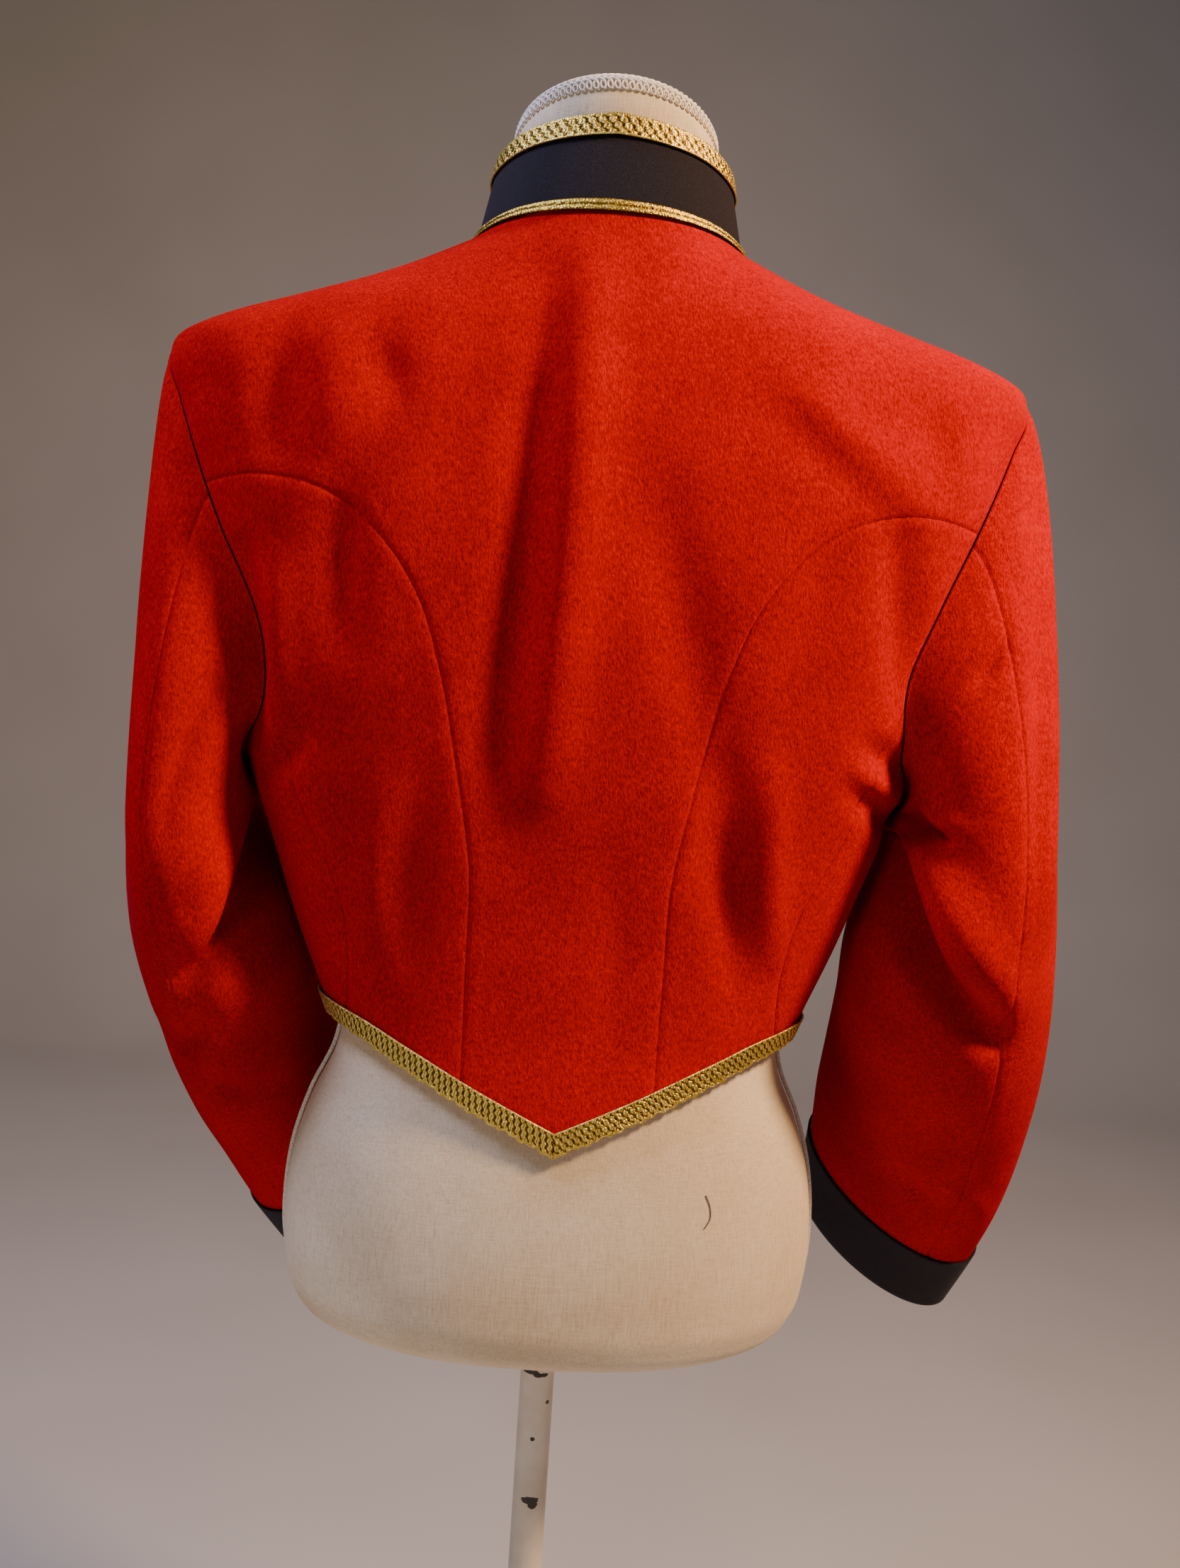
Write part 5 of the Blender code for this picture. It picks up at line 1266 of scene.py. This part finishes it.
SLEEVE_SPANS = {
    "top_sleeve": (radians(FORE_SEAM_TURN - 360), radians(HIND_SEAM_TURN)),
    "under_sleeve": (radians(HIND_SEAM_TURN), radians(FORE_SEAM_TURN)),
}
for hand in HANDS:
    for part, (start, end) in SLEEVE_SPANS.items():

        def sleeve_at(u, v, out):
            turn = start + (end - start) * u
            return sleeve(hand, turn, v, out + sleeve_seam_lift(turn, v))

        name, node = f"{part}_cloth_{hand}", f"{part}_{hand}"
        grids = [(sleeve_at, crowded(SLEEVE_GRID[0], True, True), crowded(SLEEVE_GRID[1], True, False))]
        half = cloth_sheet(name, grids, CLOTH, scarlet_melton, "scarlet_melton", node)
    upper = cuff_start(hand)

    def cuff_at(u, v, out):
        return sleeve(hand, 2 * pi * u, upper + (1 - upper) * v, CUFF_GAP + CUFF_CLOTH + out)

    grids = [(cuff_at, *even_lines(CUFF_GRID))]
    cuff = cloth_sheet(f"navy_cuff_{hand}", grids, CUFF_CLOTH, navy_cloth, "navy_cloth", f"cuff_{hand}")


# Collar with its braid and cord
# A stand collar of navy cloth over stiff canvas, closed at the front by a hook and eye. Gold lace
# is sewn along its upper edge, and a double gold cord covers the neck seam.
COLLAR_CLOTH = 0.0030
COLLAR_COLUMNS = ("turn", "rise", "lean_in")
COLLAR_SHAPE = (
    (0, 0.05, 0.0065),
    (60, 0.044, 0.008),
    (90, 0.04, 0.009),
    (140, 0.037, 0.008),
    (178, 0.036, 0.007),
)
COLLAR_STANDS_OFF = 0.0012
COLLAR_BRAID_WIDTH = 0.0115
COLLAR_BRAID_THICK = 0.0014
COLLAR_CORD_WIDTH = 0.0064
COLLAR_CORD_RISE = -0.0032
COLLAR_CORD_THICK = 0.0022
COLLAR_CORD_NARROWS = 0.45
COLLAR_LENGTH = 0.410
COLLAR_GRID = (240, 20)
COLLAR_LACE_GRID = (800, 20)
COLLAR_CORD_GRID = (900, 16)
TURNED_EDGE = 0.0007


def neck_seam(turn):
    """Neck seam point by its turn in radians from the centre back; negative on the right."""
    share = np.abs(turn) / pi
    back = seen_route(NECK_BACK, 1)(np.clip(share * 2, 0, 1))
    front = seen_route(NECK_FRONT, -1)(np.clip(share * 2 - 1, 0, 1))
    place = np.where((share < 0.5)[..., None], back, front)
    return on_ring(np.sign(turn) * place[..., 0], place[..., 1])


def collar_point(turn, rise, out=0.0):
    """World point of the collar's outer face; rise 0 is the neck seam and 1 the upper edge."""
    degrees = np.abs(np.degrees(turn))
    seam = neck_seam(turn)
    level = np.linalg.norm(seam[..., :2], axis=-1)
    outward = seam[..., :2] / level[..., None]
    shape = reader(COLLAR_SHAPE, COLLAR_COLUMNS)
    lean, up = shape("lean_in", degrees) * rise, shape("rise", degrees) * rise
    flat = seam[..., :2] + outward * (out - lean)[..., None]
    height = seam[..., 2] + COLLAR_STANDS_OFF + up + HEM_POINT_HEIGHT
    return np.concatenate([flat, height[..., None]], -1)


collar_end = radians(COLLAR_SHAPE[-1][0])
full_rise = COLLAR_SHAPE[0][1]


def collar_strip(low, high, gap):
    """Place on a strip of the collar between two of its rises, by shares along and across."""
    return lambda u, v, out: collar_point((2 * u - 1) * collar_end, low + (high - low) * v, gap + out)


grids = [(collar_strip(0, 1, 0), *even_lines(COLLAR_GRID))]
collar = cloth_sheet("stand_collar", grids, COLLAR_CLOTH, navy_cloth, "navy_cloth", "collar")
turned_edge = collar.modifiers.new("turned_edges", "BEVEL")
turned_edge.width = TURNED_EDGE
turned_edge.segments = 3
turned_edge.limit_method = "ANGLE"
turned_edge.angle_limit = radians(50)


# Gold lace: gilt wire spun on yellow silk and woven in stepped ribs. Its colour has painted shade in
# the gaps between the ribs and painted glints on the wire. The ribs have their real pitch; the single
# wires are too fine to show and are drawn together.
EDGE_BRAID_WIDTH = 0.0120
RIB_PITCH = 0.0056
LACE_STEP = 0.0034
LACE_SHIFT = 0.0028
RIBS = ((0.28, 1.0), (0.62, 0.9))
RIB_HALF = 0.15
BEAD_PITCH = 0.0013
BEAD_GROOVE = 0.35
CORD_GROOVE = 0.55
CORD_FLATNESS = 0.6
CORD_BEAD_PITCH = 1.2 * BEAD_PITCH
BEADED_EDGE = 0.0014
SEWN_EDGE = 0.0010
RIB_RISE = 0.00045
gold_lace, tree, shader, where = new_material("gold_lace", 0.30, Metallic=0.80)
relief = add_node(tree, "Attribute", {"attribute_name": "relief"}, {})
painted_glints = add_node(tree, "TexNoise", {}, {"Vector": where, "Scale": 1 / 0.0011, "Detail": 2.0})
# Painted light: low relief between ribs and beads turns dark brown as painted shade, high relief turns pale
# yellow as painted highlight, and the noise adds painted glints.
bright = add_node(tree, "Mix", {"data_type": "FLOAT"}, {0: 0.45, 2: relief.outputs["Fac"], 3: painted_glints})
stops = ((0.22, "#3E2E06"), (0.42, "#9C7C1E"), (0.56, "#D6B43E"), (0.74, "#FBEE96"))
tone = add_node(tree, "ValToRGB", {"stops": stops}, {"Fac": bright})
bump = add_node(tree, "Bump", {}, {"Height": painted_glints, "Distance": 0.0008})
dress(tree, shader, tone.outputs[0], bump)


def saw(value):
    """Triangle wave from 0 to 1 and back, over each whole number."""
    return 1 - np.abs(2 * (value % 1) - 1)


def lace_relief(along, up, free):
    """Relief from 0 to 1 of the stepped ribs; metres along, up, and from the free edge."""
    share = up / LACE_STEP
    stair = np.floor(share) + np.clip(3 * (share % 1) - 2, 0, 1)
    run = ((along + stair * LACE_SHIFT) / RIB_PITCH) % 1
    field = np.max([tall * np.exp(-(((run - middle) / RIB_HALF) ** 2)) for middle, tall in RIBS], axis=0)
    beads = BEAD_GROOVE + (1 - BEAD_GROOVE) * saw(along / BEAD_PITCH)
    cord = CORD_GROOVE + (1 - CORD_GROOVE) * saw((along + free) / BEAD_PITCH)
    return np.where(free < BEADED_EDGE, beads, np.where(free > EDGE_BRAID_WIDTH - SEWN_EDGE, cord, field))


def gold_band(name, point_at, metres_at, relief_at, thickness, grid, node):
    """A woven band with its relief in its mesh; point_at takes shares along and across."""

    def raised(u, v, out):
        rise = relief_at(*metres_at(u, v))
        return point_at(u, v, out + thickness - RIB_RISE * (1 - rise))

    work = bmesh.new()
    # The relief is also kept on each corner, where the gold's colour reads it for its painted shade and
    # highlight.
    layer = work.verts.layers.float.new("relief")
    verts, u, v = fill_grid(work, raised, *even_lines(grid))
    for vert, rise in zip(verts, relief_at(*metres_at(u, v))):
        vert[layer] = rise
    piece = add_piece(name, finish_mesh(work, name, 180), gold_lace, "gold_braid", node)
    thicken(piece, thickness - RIB_RISE)
    return piece


collar_lace = gold_band(
    "collar_lace",
    collar_strip(1 - COLLAR_BRAID_WIDTH / full_rise, 1, SURFACE_GAP),
    lambda u, v: ((0.5 - u) * COLLAR_LENGTH, v * COLLAR_BRAID_WIDTH, (1 - v) * EDGE_BRAID_WIDTH),
    lace_relief,
    COLLAR_BRAID_THICK,
    COLLAR_LACE_GRID,
    "collar_braid",
)


def cord_relief(along, up):
    """Two rows of beads with a groove between them."""
    row = saw(2 * up / COLLAR_CORD_WIDTH) ** CORD_FLATNESS
    return row * (CORD_GROOVE + (1 - CORD_GROOVE) * saw((along + 0.5 * up) / CORD_BEAD_PITCH))


def cord_place(u, v, out):
    """Place on the cord, which narrows from the centre back to the sides."""
    narrowed = 1 - COLLAR_CORD_NARROWS * np.clip(4 * np.abs(u - 0.5), 0, 1) ** 1.5
    rise = (COLLAR_CORD_RISE + COLLAR_CORD_WIDTH * narrowed * v) / full_rise
    return collar_point((2 * u - 1) * collar_end, rise, SURFACE_GAP + out)


collar_cord = gold_band(
    "neck_seam_cord",
    cord_place,
    lambda u, v: ((0.5 - u) * COLLAR_LENGTH, v * COLLAR_CORD_WIDTH),
    cord_relief,
    COLLAR_CORD_THICK,
    COLLAR_CORD_GRID,
    "collar_cord",
)


# Hook and eye
# Blackened steel wire, bent and sewn inside the front ends of the collar to hold it closed.
HOOK_WIRE = 0.0006
HOOK_REACH = (-0.0075, 0.0012)
EYE_LOOP = 0.0028
EYE_MIDDLE = 0.0030
EYE_CLOSED = 0.75 * pi
EYE_POINTS, HOOK_POINTS = 25, 9

# Oxidised steel wire: dark, dull, rubbed brighter in places.
blackened_wire, tree, shader, where = new_material("blackened_wire", 0.45, Metallic=0.9)
rubbed = add_node(tree, "TexNoise", {}, {"Vector": where, "Scale": 1 / 0.002})
tone = add_node(tree, "ValToRGB", {"stops": ((0.4, "#2A2826"), (0.7, "#5A5651"))}, {"Fac": rubbed})
bump = add_node(tree, "Bump", {}, {"Height": rubbed, "Distance": 0.00005})
dress(tree, shader, tone.outputs[0], bump)

middle = collar_point(np.array(collar_end), 0.5, -COLLAR_CLOTH - SURFACE_GAP - HOOK_WIRE)
wire_y, wire_z = float(middle[1]), float(middle[2])
turns = np.linspace(-EYE_CLOSED, EYE_CLOSED, EYE_POINTS)
eye = [(EYE_MIDDLE - EYE_LOOP * cos(a), wire_y, wire_z + EYE_LOOP * sin(a)) for a in turns]
hook_y = wire_y + 2 * HOOK_WIRE + TOUCH_GAP
hook = [(x, hook_y, wire_z) for x in np.linspace(*HOOK_REACH, HOOK_POINTS)]
for name, line in (("collar_eye", eye), ("collar_hook", hook)):
    bent = strand_mesh(f"{name}_wire", [line], HOOK_WIRE, 3, False)
    add_piece(f"{name}_wire", bent, blackened_wire, "blackened_steel", name)


# Gold lace on the jacket's edge
# The same woven gold lace, sewn flat along the hem from the point at the centre back, where it is
# mitred, round to the fronts and up both front edges.
EDGE_BRAID_GAP = 0.0010
EDGE_BRAID_THICK = 0.0014
EDGE_BRAID_CORNER = 1.4
EDGE_LACE_GRID = (1360, 20)
LACE_WAVE = 0.035
LACE_WAVES = ((0.023, 0), (0.0091, 1))
HEM_BRAID_STEPS = 28
FRONT_BRAID_STEPS = 18
MITRE_FADE = 0.06
MITRE_HALF_GAP = 0.002
LACE_REACH = 0.3

front_edge_up = seen_route((hem_place(HEM[-1][0]),) + tuple(reversed(FRONT_EDGE)), -1)
edge_route = chain((hem_route(0, HEM[-1][0]), HEM_BRAID_STEPS), (front_edge_up, FRONT_BRAID_STEPS))
edge_steps = HEM_BRAID_STEPS + FRONT_BRAID_STEPS
edge_length = float(lengths(ring_place(edge_route(np.linspace(0, 1, 5 * ROUTE_SAMPLES + 1))))[-1])


def edge_lace_place(u, v):
    """Angle and height on the torso of a place of the lace, by shares along and across."""
    edge = edge_route(u)
    angle, height = edge[..., 0], edge[..., 1]
    near = LACE_REACH / edge_steps
    before, after = edge_route(np.clip(u - near, 0, 1)), edge_route(np.clip(u + near, 0, 1))
    around, upward = (slope / (2 * SMALL_STEP) for slope in ring_slopes(angle, height))
    along = unit(ring_place(after) - ring_place(before))
    round_length = np.linalg.norm(around, axis=-1)
    up_length = np.linalg.norm(upward, axis=-1)
    flow_round = np.sum(along * around, -1) / round_length
    flow_up = np.sum(along * upward, -1) / up_length
    from_corner = np.abs(u - HEM_BRAID_STEPS / edge_steps) * edge_steps
    width = EDGE_BRAID_WIDTH * (1 + (EDGE_BRAID_CORNER - 1) * np.clip(1 - 2 * from_corner, 0, 1)) * v
    return np.stack([angle - flow_up * width / round_length, height + flow_round * width / up_length], -1)


first_shares = np.linspace(0, MITRE_FADE, ROUTE_SAMPLES)
inner_edge = edge_lace_place(first_shares, np.ones(len(first_shares)))
mitre_share = float(first_shares[np.argmax(inner_edge[:, 0] >= 0)])


def mitred(u, v):
    """Share along the hem, with the lace's inner edge begun later, for the mitre."""
    return u + mitre_share * v * np.clip(1 - u / MITRE_FADE, 0, 1)


for hand, sign in HANDS.items():

    def edge_lace_at(u, v, out):
        metres = u * edge_length
        wave = LACE_WAVE * sum(np.sin(2 * pi * metres / length + phase) for length, phase in LACE_WAVES)
        place = edge_lace_place(mitred(u, v), v - wave * (1 - v))
        place[..., 0] = np.maximum(place[..., 0], MITRE_HALF_GAP)
        return torso_points(place, sign, EDGE_BRAID_GAP + out)

    def edge_metres(u, v):
        return -sign * mitred(u, v) * edge_length, v * EDGE_BRAID_WIDTH, v * EDGE_BRAID_WIDTH

    lace = gold_band(
        f"hem_and_front_lace_{hand}",
        edge_lace_at,
        edge_metres,
        lace_relief,
        EDGE_BRAID_THICK,
        EDGE_LACE_GRID,
        f"edge_braid_{hand}",
    )


# Floor and backdrop
# A pale paper sweep, curved up well behind the object, so that no edge shows.
SWEEP_HALF_WIDTH = 4.0
SWEEP_NEAR, SWEEP_FAR = 3.0, -3.2
SWEEP_HEIGHT = 3.4
SWEEP_BEND = 0.8
SWEEP_STEPS = 16

pale_paper, tree, shader, where = new_material("pale_paper", 0.9)
clouds = add_node(tree, "TexNoise", {}, {"Vector": where, "Scale": 1 / 0.5})
tone = add_node(tree, "ValToRGB", {"stops": ((0.3, "#D8D6D2"), (0.7, "#E0DEDB"))}, {"Fac": clouds})
fibres = add_node(tree, "TexNoise", {}, {"Vector": where, "Scale": 1 / 0.002})
bump = add_node(tree, "Bump", {}, {"Height": fibres, "Distance": 0.00003})
dress(tree, shader, tone.outputs[0], bump)

bends = np.linspace(0, pi / 2, SWEEP_STEPS + 1)
line = [(SWEEP_NEAR, 0.0)]
line += [(SWEEP_FAR + SWEEP_BEND * (1 - sin(a)), SWEEP_BEND * (1 - cos(a))) for a in bends]
line += [(SWEEP_FAR, SWEEP_HEIGHT)]
work = bmesh.new()
verts = [work.verts.new((-SWEEP_HALF_WIDTH, y, z)) for y, z in line]
edges = [work.edges.new(pair) for pair in zip(verts, verts[1:])]
pushed = bmesh.ops.extrude_edge_only(work, edges=edges)["geom"]
moved = [item for item in pushed if isinstance(item, bmesh.types.BMVert)]
bmesh.ops.translate(work, verts=moved, vec=(2 * SWEEP_HALF_WIDTH, 0, 0))
bmesh.ops.recalc_face_normals(work, faces=work.faces)
sweep = bpy.data.objects.new("paper_sweep", finish_mesh(work, "paper_sweep", 60))
sweep.data.materials.append(pale_paper)
bpy.context.scene.collection.objects.link(sweep)


# Light
# A warm softbox high on the wearer's right, which rakes across the creases, a cooler one above
# their left shoulder, a weak one low behind their left and a faint even light all round.
LIGHT_AIM = (0.0, 0.0, 0.95)
ROOM_STRENGTH = 0.08
LIGHTS = (
    ("warm_softbox", (-1.00, 0.46, 1.82), 0.24, 39.0, "#FFD0A0"),
    ("cool_softbox", (0.80, 0.30, 2.10), 0.50, 20.0, "#D8D8FF"),
    ("low_softbox", (0.75, 1.15, 0.45), 0.40, 2.6, "#FFF0E4"),
)
for name, place, size, power, colour in LIGHTS:
    lamp = bpy.data.lights.new(name, "AREA")
    lamp.shape = "DISK"
    lamp.size = size
    lamp.energy = power
    lamp.color = linear(colour)[:3]
    softbox = bpy.data.objects.new(name, lamp)
    softbox.location = place
    aim = Vector(LIGHT_AIM) - Vector(place)
    softbox.rotation_euler = aim.to_track_quat("-Z", "Y").to_euler()
    bpy.context.scene.collection.objects.link(softbox)

room = bpy.data.worlds.new("soft_room")
room.use_nodes = True
room.node_tree.nodes["Background"].inputs["Color"].default_value = linear("#E8E6E4")
room.node_tree.nodes["Background"].inputs["Strength"].default_value = ROOM_STRENGTH
bpy.context.scene.world = room


# Camera
# Level with the shoulder blades and close behind the jacket, tipped down a little.
CAMERA_PLACE = (0.0075, 0.845, 0.996)
CAMERA_TURN = 1.1
CAMERA_DOWN = 5.0
CAMERA_ROLL = 3.75
CAMERA_LENS = 32.55
SENSOR_HEIGHT = 36.0

lens = bpy.data.cameras.new("photo_camera")
lens.sensor_fit = "VERTICAL"
lens.sensor_height = SENSOR_HEIGHT
lens.lens = CAMERA_LENS
camera = bpy.data.objects.new("photo_camera", lens)
turn, down = radians(CAMERA_TURN), radians(CAMERA_DOWN)
forward = Vector((-sin(turn) * cos(down), -cos(turn) * cos(down), -sin(down)))
facing = forward.to_track_quat("-Z", "Y") @ Euler((0, 0, radians(CAMERA_ROLL))).to_quaternion()
camera.rotation_euler = facing.to_euler()
camera.location = CAMERA_PLACE
bpy.context.scene.collection.objects.link(camera)
bpy.context.scene.camera = camera
